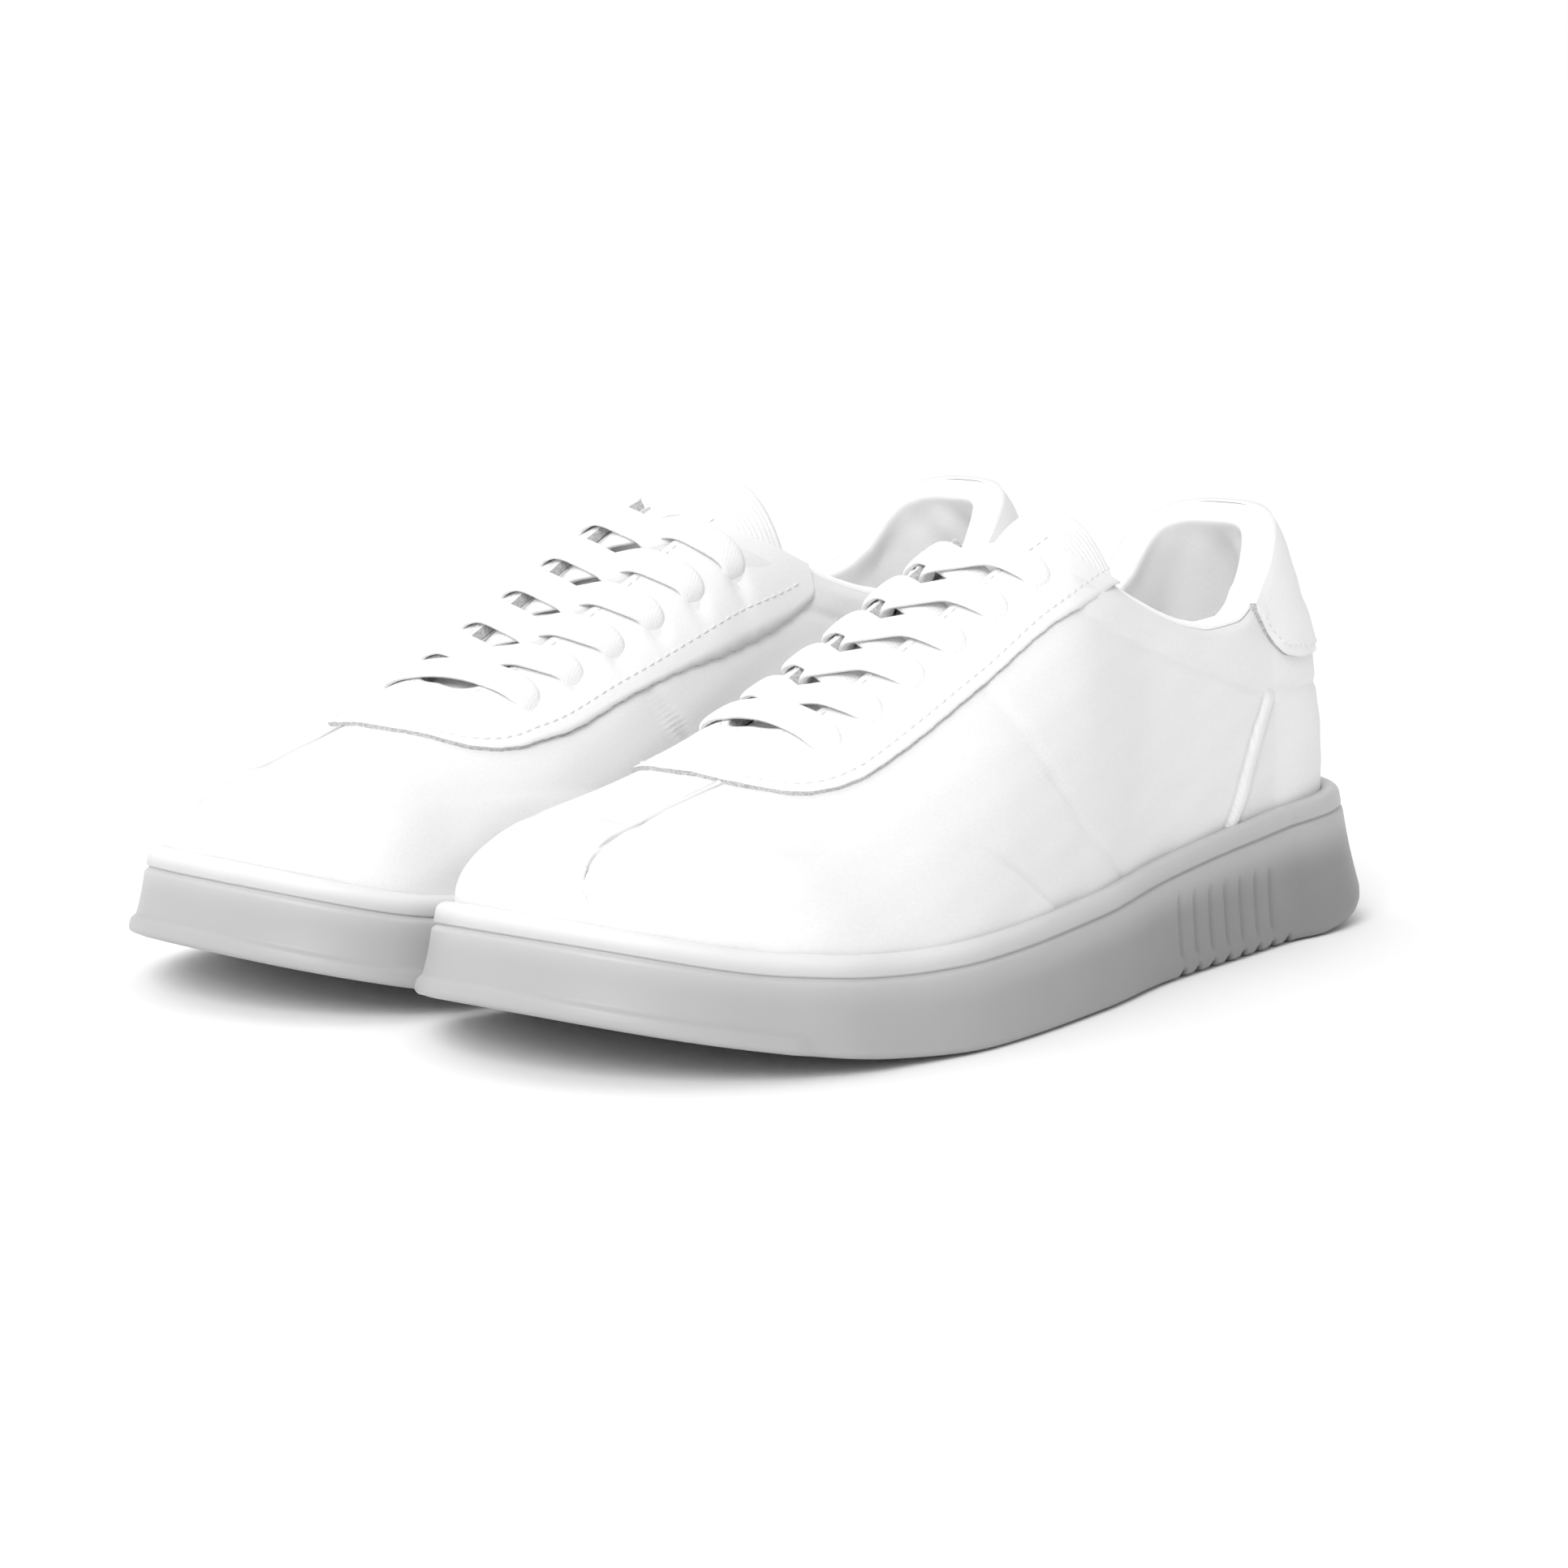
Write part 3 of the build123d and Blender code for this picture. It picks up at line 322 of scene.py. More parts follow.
def even_angles(count, z, inset):
    """Ring angles that give equal steps round one level."""
    angle = np.linspace(0, 2 * math.pi, 4001)
    ring = ring_points(angle, np.array([[z]]), inset)[0]
    run = np.concatenate([[0], np.cumsum(np.linalg.norm(np.diff(ring, axis=0), axis=1))])
    return np.interp(np.linspace(0, run[-1], count, endpoint=False), run, angle)


def grooves(x, stations, half):
    """1 in the middle of each groove, 0 between them."""
    depth = np.zeros_like(x)
    for station in stations:
        depth = np.maximum(depth, 1 - smooth((np.abs(x - station) - half + 0.6) / 1.2))
    return depth


def sole_profile():
    """Rows of (distance out from the wall line, drop from the rim) of the rolled rim."""
    rows = [(-4.6, 0.9), (-3.9, 0.3)]
    for k in range(7):
        a = math.radians(90 * k / 6)
        rows.append((-1.9 + 1.9 * math.sin(a), 1.9 - 1.9 * math.cos(a)))
    for k in range(1, 5):
        a = math.radians(90 * k / 4)
        rows.append((-1.1 + 1.1 * math.cos(a), BEAD - 1.1 + 1.1 * math.sin(a)))
    rows.append((-GROOVE, BEAD + 0.4))
    rows.append((-0.15, BEAD + BEAD_STEP))
    return rows


def sole_piece(side):
    """Rubber cup sole: rolled rim, fluted heel wall, toe flange and cleated tread."""
    angle = even_angles(SOLE_COLUMNS, 30.0, -RIM_OUT)
    ring = ring_points(angle, np.array([[30.0]]), -RIM_OUT)[0]
    tangent = np.roll(ring, -1, 0) - np.roll(ring, 1, 0)
    tangent /= np.linalg.norm(tangent, axis=1, keepdims=True)
    out = np.stack([tangent[:, 1], -tangent[:, 0]], -1)
    if out[0, 0] > 0:
        out = -out
    x = ring[:, 0]
    lean = SOLE_LEAN(x)
    rim, low = RIM_TOP(x), ground(x + out[:, 0] * lean)
    flute = grooves(x, FLUTE_STATIONS, FLUTE_SIZE)
    lug = grooves(x, LUG_STATIONS, LUG_HALF)
    # Painted shade: heel makes the rubber darker towards the heel, where less light falls on the sole.
    heel = smooth((262 - x) / 200)
    corner = LOW_CORNER + (HEEL_CORNER - LOW_CORNER) * smooth((34 - x) / 24)
    rows, tone_and_shade = [], []

    def add_row(distance, z):
        share = (rim - z) / (rim - low)
        place_out = distance + lean * np.clip(share, 0, 1)
        rows.append(np.stack([x + out[:, 0] * place_out, ring[:, 1] + out[:, 1] * place_out, z], -1))
        # Darker with the drop from the rim: partly the translucent rubber's own tone, partly painted shade
        # on the lower wall; the heel term adds painted shade.
        tone_and_shade.append(np.clip(0.1 + 0.55 * smooth(share / 0.55) + 0.3 * heel, 0, 1))

    for distance, drop in sole_profile():
        add_row(distance, rim - drop)
    wall_top = rim - BEAD - BEAD_STEP
    for t in np.linspace(0, 1, WALL_ROWS)[1:]:
        z = wall_top - (wall_top - low - corner) * t
        flange = smooth((x - 255) / 6) * smooth((4.9 - (z - low)) / 1.0)
        near = smooth((z - 4) / 2) * smooth((22 - z) / 3)
        belly = 0.35 * math.sin(math.pi * t)
        add_row(flange - 0.75 * flute * near - belly, z)
    for k in range(1, 6):
        a = math.radians(90 * k / 5)
        flange = smooth((x - 255) / 6)
        z = low + corner - corner * math.sin(a) + LUG_DEPTH * lug * (k / 5) ** 0.5
        add_row(flange - corner + corner * math.cos(a), z)
    edge = rows[-1]
    tread = grooves(x, TREAD_STATIONS, LUG_HALF)
    for t in BOTTOM_ROWS:
        row = edge.copy()
        row[:, 1] += (CENTRE(row[:, 0]) - row[:, 1]) * t
        cut = lug if t < 0.12 else np.maximum(lug, tread)
        row[:, 2] = ground(row[:, 0]) * min(1, t / 0.06) + edge[:, 2] * max(0, 1 - t / 0.06)
        row[:, 2] += LUG_DEPTH * (cut - lug * max(0, 1 - t / 0.06))
        rows.append(row)
        # The tread is given a darker tone, with painted shade added towards the heel.
        tone_and_shade.append(0.65 + 0.3 * heel)
    points = np.array(rows)
    turns = np.broadcast_to(np.linspace(0, 0.72, SOLE_COLUMNS)[None, :], points.shape[:2])
    uv = np.stack([turns, np.array(tone_and_shade)], -1)
    faces = grid_faces(*points.shape[:2], closed=True)
    piece = make_mesh(side_name(side, "rubber_sole"), points.reshape(-1, 3), faces, side, uv.reshape(-1, 2))
    finish_piece(piece, side, "shoe", "sole_rubber", RUBBER, side_name(side, "outsole"))
    return piece


def finish_piece(piece, side, body, slot, materials, *nodes):
    """Material, body and the CAD nodes that the piece stands for; slot is not used."""
    for material in materials if isinstance(materials, (list, tuple)) else [materials]:
        piece.data.materials.append(material)
    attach(piece, side_name(side, body))
    if nodes:
        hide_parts(*nodes)


# ---------------------------------------------------------------- upper
UPPER_COLUMNS, UPPER_ROWS = 640, 84
COLLAR_ROLL_DROP = 1.8
SCAN_STEPS = 500
INNER_RELIEF = 0.4
SEAM = Curve([(0, 112), (28, 128), (44, 150), (61, 167), (78, 174), (100, 178)])
HEEL_SEAM = Curve([(22, 75), (32, 70), (40, 64), (52, 57), (65, 47)])


def throat_half(x):
    """Half width of the lacing slot at a station."""
    part = np.clip((EYELET_X[0] - x) / (EYELET_X[0] - EYELET_X[-1]), 0, 1)
    return THROAT_HALF[0] + (THROAT_HALF[1] - THROAT_HALF[0]) * part


def throat_centre(x):
    """Middle of the lacing slot at a station."""
    part = np.clip((EYELET_X[0] - x) / (EYELET_X[0] - EYELET_X[-1]), 0, 1)
    return THROAT_Y[0] + (THROAT_Y[1] - THROAT_Y[0]) * part


def throat_distance(x, y):
    """How far outside the lacing slot a plan position is."""
    nose = THROAT_FRONT - THROAT_HALF[0]
    aside = np.abs(y - throat_centre(x)) - throat_half(x)
    ahead = np.hypot(x - nose, y - THROAT_Y[0]) - THROAT_HALF[0]
    return np.where(x > nose, ahead, aside)


def crossing(angle, inset, start, test):
    """Height at which each column of the ring first meets a test, scanning up from a start."""
    levels = np.linspace(0, 1, SCAN_STEPS)[:, None]
    z = start + (126.0 - start) * levels
    flat = np.linspace(z.min(), 126.0, 1200)
    fronts = front_of(flat, inset)
    front = np.interp(z, flat, fronts)
    back = HEEL_LEAN(z) + inset
    x = (back + front) / 2 - (front - back) / 2 * np.cos(angle)[None, :]
    side = np.where(np.sin(angle) >= 0, 1, -1)[None, :] * np.ones_like(x)
    y = CENTRE(x) + side * np.maximum(half_width(x, z * np.ones_like(x), inset, side), 0)
    value = test(x, y, z)
    first = np.argmax(value > 0, axis=0)
    first = np.where(value.max(0) <= 0, SCAN_STEPS - 1, np.maximum(first, 1))
    column = np.arange(len(angle))
    before, after = value[first - 1, column], value[first, column]
    share = np.clip(-before / np.where(after == before, 1, after - before), 0, 1)
    z = np.broadcast_to(z, value.shape)
    return z[first - 1, column] + (z[first, column] - z[first - 1, column]) * share


def pad_depth(x, z):
    """Extra thickness of the padded collar."""
    return 4.2 * smooth((z - COLLAR_LINE(x)) / 14.0) * smooth((142.0 - x) / 36.0)


def crease(distance, width):
    """1 on a pressed line, fading to both sides."""
    return np.exp(-(distance / width) ** 2)


def relief(points):
    """Height of the pressed lines, guards and collar padding over the plain upper, in mm."""
    x, y, z = points[..., 0], points[..., 1], points[..., 2]
    slope = 0.5
    guard = np.where(x < 271, GUARD_TOP(x) - z, 4.0 + (x - 271))
    guard = np.where(x < 158, -5, guard)
    stem = np.minimum(STEM_OUT(x) - y, y - STEM_IN(x))
    stem = np.where(x > 214, stem, -5)
    stem = stem + 3.0 * (smooth((x - 214) / 16) - 1)
    height = np.maximum(0.75 * smooth(guard / 2.6 + slope), 0.16 * smooth(stem / 9.0 + slope))
    height = (height - 0.2 * crease(guard + 1.6, 1.3)) * np.where(y < CENTRE(x), INNER_RELIEF, 1.0)
    seam = x - SEAM(z)
    seam_on = smooth((z - 20) / 4) * smooth((190 - x) / 10)
    height = height + seam_on * (0.42 * smooth(-seam / 2.0 + slope) * smooth((x - 80) / 60)
                                 - 0.35 * crease(seam - 1.2, 1.2))
    heel = x - HEEL_SEAM(z)
    heel_on = smooth((66 - z) / 3)
    band = np.minimum(heel + 2.4, 2.4 - heel)
    height = height + heel_on * (0.9 * smooth(band / 1.4 + slope) - 0.5 * crease(band + 1.0, 0.9))
    collar = z - COLLAR_LINE(x)
    collar_on = smooth((148 - x) / 14)
    puff = 1.1 * np.sin(np.pi * np.clip(collar / 22.0, 0, 1)) ** 0.8
    height = height + collar_on * (puff - 0.5 * crease(collar, 1.3))
    height = height + 0.16 * np.sin(0.21 * x + 0.35 * z) * np.sin(0.17 * y - 0.23 * z)
    return height


def upper_grid(angle, rows, low, high, inset=0.0):
    """Grid of the upper between two heights per column."""
    t = np.linspace(0, 1, rows)[:, None]
    z = low[None, :] + (high - low)[None, :] * t
    flat = np.linspace(z.min(), z.max(), 1200)
    front = np.interp(z, flat, front_of(flat, inset))
    back = HEEL_LEAN(z) + inset
    x = (back + front) / 2 - (front - back) / 2 * np.cos(angle)[None, :]
    side = np.where(np.sin(angle) >= 0, 1, -1)[None, :] * np.ones_like(x)
    y = CENTRE(x) + side * np.maximum(half_width(x, z, inset, side), 0)
    return np.stack([x, y, z], -1)


def outward(points):
    """Unit normals pointing away from the foot."""
    normal = normals_of(points, closed=True)
    middle = points.reshape(-1, 3).mean(0)
    if ((points - middle) * normal).sum(-1).mean() < 0:
        normal = -normal
    return normal


def upper_limits(angle):
    """Lower and upper edge of the leather in every column."""
    start = float(RIM_TOP(200.0)) - 8
    rim = crossing(angle, 0.0, start, lambda x, y, z: z - RIM_TOP(x) + 3.0)

    def edge(x, y, z):
        top = z - TOP_LINE(x) + COLLAR_ROLL_DROP
        slot = np.where((x > 118) & (z > 55), 3.5 - throat_distance(x, y), -9)
        return np.maximum(top, slot)

    return rim, crossing(angle, 0.0, start, edge)


def upper_piece(side):
    """Leather upper in one skin, with the pressed guard, stem, seams and collar."""
    angle = even_angles(UPPER_COLUMNS, 40.0, 0.0)
    low, high = upper_limits(angle)
    points = upper_grid(angle, UPPER_ROWS, low, high)
    normal = outward(points)
    fade = np.ones(UPPER_ROWS)
    fade[-3:] = (0.7, 0.4, 0.0)
    points = points + normal * (relief(points) * fade[:, None])[..., None]
    piece = grid_piece(side_name(side, "leather_upper"), points, side, closed=True)
    finish_piece(piece, side, "shoe", "upper_leather", LEATHER,
                 *[side_name(side, n) for n in ("vamp", "outer_quarter", "inner_quarter")])
    return piece


# ---------------------------------------------------------------- collar and lining
LINING_COLUMNS, LINING_ROWS, ROLL_ROWS = 420, 60, 14
ROLL_HEIGHT = 2.4


def folds(angle, z, top):
    """Soft upright folds of the knit inside the heel and along the sides, in mm."""
    turn = np.where(angle > math.pi, angle - 2 * math.pi, angle)
    drop = np.clip((top - z) / 40.0, 0, 1)
    wave = (np.sin(7.3 * turn + 0.05 * z) + 0.6 * np.sin(13.1 * turn - 0.09 * z + 1.3)
            + 0.45 * np.sin(4.1 * turn + 0.13 * z + 0.4))
    return 0.95 * wave * smooth(drop * 4) * (1 - 0.5 * drop)


def collar_piece(side):
    """Knit collar: the roll over the padding and the lining down to the footbed."""
    whole = even_angles(LINING_COLUMNS * 2, 40.0, 0.0)
    low, high = upper_limits(whole)
    top_x = upper_grid(whole, 2, low, high)[1, :, 0]
    angle = whole[top_x < 131]
    angle = np.concatenate([angle[angle > math.pi], angle[angle <= math.pi]])
    order = np.where(angle > math.pi, angle - 2 * math.pi, angle)
    low, high = upper_limits(angle)
    seat = crossing(angle, 0.0, 8.0, lambda x, y, z: z - INSOLE(x) - 3.0)
    t = np.linspace(0, 1, LINING_ROWS)[:, None] ** 1.15
    z = high + (seat - high) * t
    side_sign = np.where(np.sin(angle) >= 0, 1, -1)[None, :] * np.ones_like(z)
    front = front_of(np.linspace(5, 126, 1200), 0.0)
    front = np.interp(z, np.linspace(5, 126, 1200), front)
    back = HEEL_LEAN(z)
    x = (back + front) / 2 - (front - back) / 2 * np.cos(angle)
    y = CENTRE(x) + side_sign * np.maximum(half_width(x, z, 0.0, side_sign), 0)
    face = np.stack([x, y, z], -1)
    normal = normals_of(face)
    middle = np.array([120.0, 3.0, 60.0])
    if ((face - middle) * normal).sum(-1).mean() < 0:
        normal = -normal
    depth = 3.8 + pad_depth(x, z)
    fold = folds(order[None, :], z, high)
    inner = face - normal * (depth + fold)[..., None]
    lip, lip_normal = face[0], normal[0]
    up = np.cross(np.gradient(lip, axis=0), lip_normal)
    up /= np.linalg.norm(up, axis=1, keepdims=True)
    up *= np.sign(up[:, 2:3])
    ends = smooth(np.minimum(np.arange(len(angle)), np.arange(len(angle))[::-1]) / 14.0)
    rise = (ROLL_HEIGHT * (0.35 + 0.65 * ends))[:, None]
    rows = [lip - lip_normal * 0.6 - up * 1.5]
    for k in range(ROLL_ROWS):
        a = math.pi * k / (ROLL_ROWS - 1)
        across = 0.25 + (depth[0] - 0.25) * (1 - math.cos(a)) / 2
        rows.append(lip - lip_normal * across[:, None] + up * rise * abs(math.sin(a)) ** 0.75)
    points = np.concatenate([np.array(rows), inner[1:]])
    piece = grid_piece(side_name(side, "knit_collar"), points, side)
    finish_piece(piece, side, "shoe", "collar_knit", KNIT,
                 side_name(side, "collar_lining"), side_name(side, "collar_foam"))
    return piece


def footbed_piece(side):
    """Cupped textile footbed."""
    x = np.linspace(13, 284, 130)
    t = np.linspace(-1, 1, 49)
    half_out = half_width(x, np.full_like(x, 30.0), 4.6, 1)
    half_in = half_width(x, np.full_like(x, 30.0), 4.6, -1)
    reach = np.where(t[None, :] > 0, half_out[:, None], half_in[:, None])
    y = CENTRE(x)[:, None] + t[None, :] * np.maximum(reach, 0.5)
    z = INSOLE(x)[:, None] + 4.25 + 1.8 * np.abs(t[None, :]) ** 6 + 0.5 * np.sin(x / 40)[:, None]
    points = np.stack([np.broadcast_to(x[:, None], y.shape), y, z], -1)
    under = points[:, ::-1].copy()
    under[..., 2] -= 3.2
    ring = np.concatenate([points, under], 1)
    piece = grid_piece(side_name(side, "textile_footbed"), ring, side, closed=True)
    finish_piece(piece, side, "shoe", "footbed_textile", TEXTILE, side_name(side, "footbed"))
    return piece


# ---------------------------------------------------------------- overlays and stitches
STAY_SIDE, STAY_FRONT, STAY_ROWS = 110, 80, 26
STAY_PIVOT = (211.0, -3.0)
NOSE_FLAT = 0.42
STITCH_PITCH, STITCH_LENGTH, STITCH_R = 3.0, 2.2, 0.28
EDGE_OUT = Curve([(112, 27), (119, 28.5), (145, 33), (167, 33.2), (190, 32.4), (212, 31)])
EDGE_IN = Curve([(106, -25), (124, -27), (150, -30), (174, -32.2), (190, -33.6), (206, -35),
                 (217, -35)])


def stay_top(share, side):
    """Station where the lace stay meets the top line, for each share of its width."""
    low, high = np.full(share.shape, 110.0), np.full(share.shape, 136.0)
    for _ in range(30):
        x = (low + high) / 2
        y = stay_y(x, share, side)
        past = surface_z(x, y) > TOP_LINE(x) - 0.3
        low = np.where(past, x, low)
        high = np.where(past, high, x)
    return high


def stay_y(x, share, side):
    """Plan place across one leg of the lace stay, from the slot (0) to its outer edge (1)."""
    inner = throat_centre(x) + side * throat_half(x)
    outer = EDGE_OUT(x) if side > 0 else EDGE_IN(x)
    return inner + (outer - inner) * share


def stay_plan(share):
    """Plan positions across (share) and round (columns) the U-shaped lace stay."""
    s = np.linspace(0, 1, STAY_SIDE)[None, :]
    share = share[:, None]
    blocks = []
    for side in (1, -1):
        start = stay_top(share, side)
        x = start + (STAY_PIVOT[0] - start) * s
        blocks.append(np.stack([x, stay_y(x, share, side)], -1))
    edge = np.array([p for p in EYESTAY_EDGE if p[0] >= STAY_PIVOT[0] - 0.1], float)
    edge = np.concatenate([[(STAY_PIVOT[0], float(EDGE_OUT(STAY_PIVOT[0])))], edge,
                           [(STAY_PIVOT[0], float(EDGE_IN(STAY_PIVOT[0])))]])
    turn = np.arctan2(edge[:, 1] - STAY_PIVOT[1], edge[:, 0] - STAY_PIVOT[0])
    reach = np.hypot(edge[:, 0] - STAY_PIVOT[0], edge[:, 1] - STAY_PIVOT[1])
    order = np.argsort(-turn)
    table = Curve(list(zip(-turn[order], reach[order])))
    angle = np.linspace(math.pi / 2, -math.pi / 2, STAY_FRONT)
    nose = THROAT_HALF[0] * (1 - NOSE_FLAT * np.cos(angle) ** 2)[None, :]
    radius = nose + (table(-angle)[None, :] - nose) * share
    front = np.stack([STAY_PIVOT[0] + radius * np.cos(angle), STAY_PIVOT[1] + radius * np.sin(angle)], -1)
    return np.concatenate([blocks[0][:, :-1], front, blocks[1][:, ::-1][:, 1:]], 1)


def eyelet(row, side):
    """Plan place of an eyelet."""
    part = row / (len(EYELET_X) - 1)
    centre = EYELET_Y[0] + (EYELET_Y[1] - EYELET_Y[0]) * part
    half = EYELET_HALF[0] + (EYELET_HALF[1] - EYELET_HALF[0]) * part
    return EYELET_X[row] + side * EYELET_LEAN, centre + side * (half + EYELET_SPREAD[side])


def stay_height(x, y):
    """Height of the lace stay's face over the skin, dimpled at the eyelets."""
    height = np.full(np.shape(x), OVERLAY)
    for row in range(len(EYELET_X)):
        for side in (1, -1):
            ex, ey = eyelet(row, side)
            height = height - 1.5 * np.exp(-((x - ex) ** 2 + (y - ey) ** 2) / 2.4 ** 2)
    return height + 0.1 * np.sin(0.31 * x) * np.sin(0.4 * y)


def ragged(run, seed):
    """Small waver of a cut leather edge, in mm."""
    return 0.06 * np.sin(0.9 * run + seed) + 0.04 * np.sin(2.3 * run + 2 * seed) + 0.2 * np.sin(0.1 * run)


def eyestay_piece(side):
    """Lace stay with raw cut edges."""
    share = np.concatenate([[0.0], np.linspace(0.0, 1.0, STAY_ROWS), [1.0]])
    plan = stay_plan(share)
    run = row_lengths(np.concatenate([plan, np.zeros(plan.shape[:2] + (1,))], -1), 1)[-1]
    waver = np.zeros(plan.shape[:2])
    waver[-2:] = ragged(run, 1.0)
    waver[:2] = 0.4 * ragged(run, 4.0)
    outer = plan[-1] - plan[0]
    outer /= np.linalg.norm(outer, axis=1, keepdims=True)
    plan = plan + waver[..., None] * outer
    x, y = plan[..., 0], plan[..., 1]
    height = stay_height(x, y)
    height[0] = -1.3
    height[1] -= 0.15
    height[-2] -= 0.1
    height[-1] = -0.4
    points = over(x, y, height)
    cols = points.shape[1]
    piece = grid_piece(side_name(side, "lace_stay"), points, side)
    finish_piece(piece, side, "shoe", "overlay_leather", [OVERLAY_LEATHER, RAW_EDGE],
                 side_name(side, "eyestay"))
    edge_faces = np.zeros(len(piece.data.polygons), np.int32)
    edge_faces[:cols - 1] = 1
    edge_faces[-(cols - 1):] = 1
    piece.data.polygons.foreach_set("material_index", edge_faces)
    return piece


def stitch_rows(name, lines, side, body, slot):
    """Rows of short thread stitches lying along lines of surface points."""
    grids = []
    for line, normals in lines:
        steps = np.linalg.norm(np.diff(line, axis=0), axis=1)
        run = np.concatenate([[0], np.cumsum(steps)])
        for k in range(int(run[-1] / STITCH_PITCH)):
            at = k * STITCH_PITCH + np.linspace(0, STITCH_LENGTH, 6)
            path = np.stack([np.interp(at, run, line[:, i]) for i in range(3)], -1)
            normal = np.stack([np.interp(at, run, normals[:, i]) for i in range(3)], -1)
            arc = np.sin(np.linspace(0, math.pi, 6))
            path = path + normal * (0.22 * arc - 0.1)[:, None]
            width = 2 * STITCH_R * (0.35 + 0.65 * arc ** 0.5)
            grids.append(tube(path, width, normal, width, 6))
    verts, faces, uv = join_grids(grids, True)
    piece = make_mesh(side_name(side, name), verts, faces, side, uv)
    finish_piece(piece, side, body, slot, THREAD)
    return piece


def stay_line(share_offset, outer):
    """Points and normals of a line at a fixed distance inside one edge of the lace stay."""
    plan = stay_plan(np.array([0.0, 1.0]))
    width = np.linalg.norm(plan[1] - plan[0], axis=1)
    share = 1 - share_offset / width if outer else share_offset / width
    line = plan[0] + (plan[1] - plan[0]) * share[:, None]
    base = over(line[:, 0], line[:, 1], stay_height(line[:, 0], line[:, 1]))
    lifted = over(line[:, 0], line[:, 1], stay_height(line[:, 0], line[:, 1]) + 1.0)
    return base, lifted - base


def tab_edge(x, z):
    """How far a point is above the lower edge of the heel tab."""
    line = Curve([(-12, 73), (30, 72.6), (41, 74), (49, 78.5), (55.5, 86), (60, 96), (70, 130)])
    return z - line(x)


def heel_tab_piece(side):
    """Heel tab with a padded face and a stitched border."""
    whole = even_angles(900, 40.0, 0.0)
    turn = np.where(whole > math.pi, whole - 2 * math.pi, whole)
    whole = whole[np.argsort(turn)]
    low = crossing(whole, 0.0, 50.0, lambda x, y, z: tab_edge(x, z))
    high = crossing(whole, 0.0, 50.0, lambda x, y, z: z - TOP_LINE(x) + 0.9)
    keep = (high - low > 0.6) & (np.abs(np.sort(turn)) < 1.4)
    angle, low, high = whole[keep], low[keep], high[keep]
    t = np.concatenate([[0.0], np.linspace(0, 1, 34), [1.0]])[:, None]
    z = low + (high - low) * t
    levels = np.linspace(40, 126, 1200)
    front = np.interp(z, levels, front_of(levels, 0.0))
    back = HEEL_LEAN(z)
    x = (back + front) / 2 - (front - back) / 2 * np.cos(angle)
    sign = np.where(np.sin(angle) >= 0, 1, -1)[None, :] * np.ones_like(x)
    y = CENTRE(x) + sign * np.maximum(half_width(x, z, 0.0, sign), 0)
    face = np.stack([x, y, z], -1)
    normal = normals_of(np.stack([x, y, low + (high - low) * t + np.arange(len(t))[:, None] * 1e-3], -1))
    normal *= np.sign((normal * (face - np.array([60.0, 0, 80]))).sum(-1))[..., None]
    border = np.minimum((z - low) / 4.0, (high - z) / 6.0 + 0.2)
    columns = np.arange(len(angle))
    border = np.minimum(border, np.minimum(columns, columns[::-1])[None, :] / 5.0)
    height = relief(face) * 0.8 + OVERLAY + 0.5 * smooth(border)
    height[0], height[-1] = -0.5, -1.2
    height[:, 0], height[:, -1] = -0.4, -0.4
    points = face + normal * height[..., None]
    piece = grid_piece(side_name(side, "heel_tab_leather"), points, side)
    finish_piece(piece, side, "shoe", "overlay_leather", [OVERLAY_LEATHER, RAW_EDGE],
                 side_name(side, "heel_tab"))
    rows, cols = points.shape[:2]
    edges = np.zeros((rows - 1, cols - 1), np.int32)
    edges[0], edges[:, 0], edges[:, -1] = 1, 1, 1
    piece.data.polygons.foreach_set("material_index", edges.ravel())
    row = np.argmin(np.abs((z - low) - 2.6), axis=0)
    column = np.arange(len(angle))
    line = points[np.maximum(row, 2), column][3:-3]
    return piece, (line, normal[np.maximum(row, 2), column][3:-3])


# ---------------------------------------------------------------- tongue
TONGUE_TOP, TONGUE_ROOT, TONGUE_HALF = 113.0, 232.0, (31.0, 27.0)
TONGUE_DEPTH, LABEL_HALF = (5.4, 10.4), 27.5
TOP_FLARE, CROWN = 4.6, 3.4


def section_point(x, y, depth):
    """Point below the upper's face within the cross-section at station x."""
    z = surface_z(x, y)
    rise = (surface_z(x, y + 0.5) - surface_z(x, y - 0.5))
    size = np.hypot(rise, 1.0)
    drop = SLOPE * (depth + pad_depth(x, z))
    return np.stack([x + 0 * y, y + rise / size * drop, z - drop / size], -1)


def tongue_point(x, t, depth):
    """Point of the tongue at a station, from one edge (-1) to the other (1)."""
    part = (TONGUE_ROOT - x) / (TONGUE_ROOT - TONGUE_TOP)
    centre = THROAT_Y[0] + (THROAT_Y[1] - THROAT_Y[0]) * part
    half = TONGUE_HALF[1] + (TONGUE_HALF[0] - TONGUE_HALF[1]) * part
    raised = TOP_FLARE * smooth((127 - x) / 14) + CROWN * (1 - t ** 2) * smooth((x - 140) / 55)
    return section_point(x, centre + half * t, depth - raised)


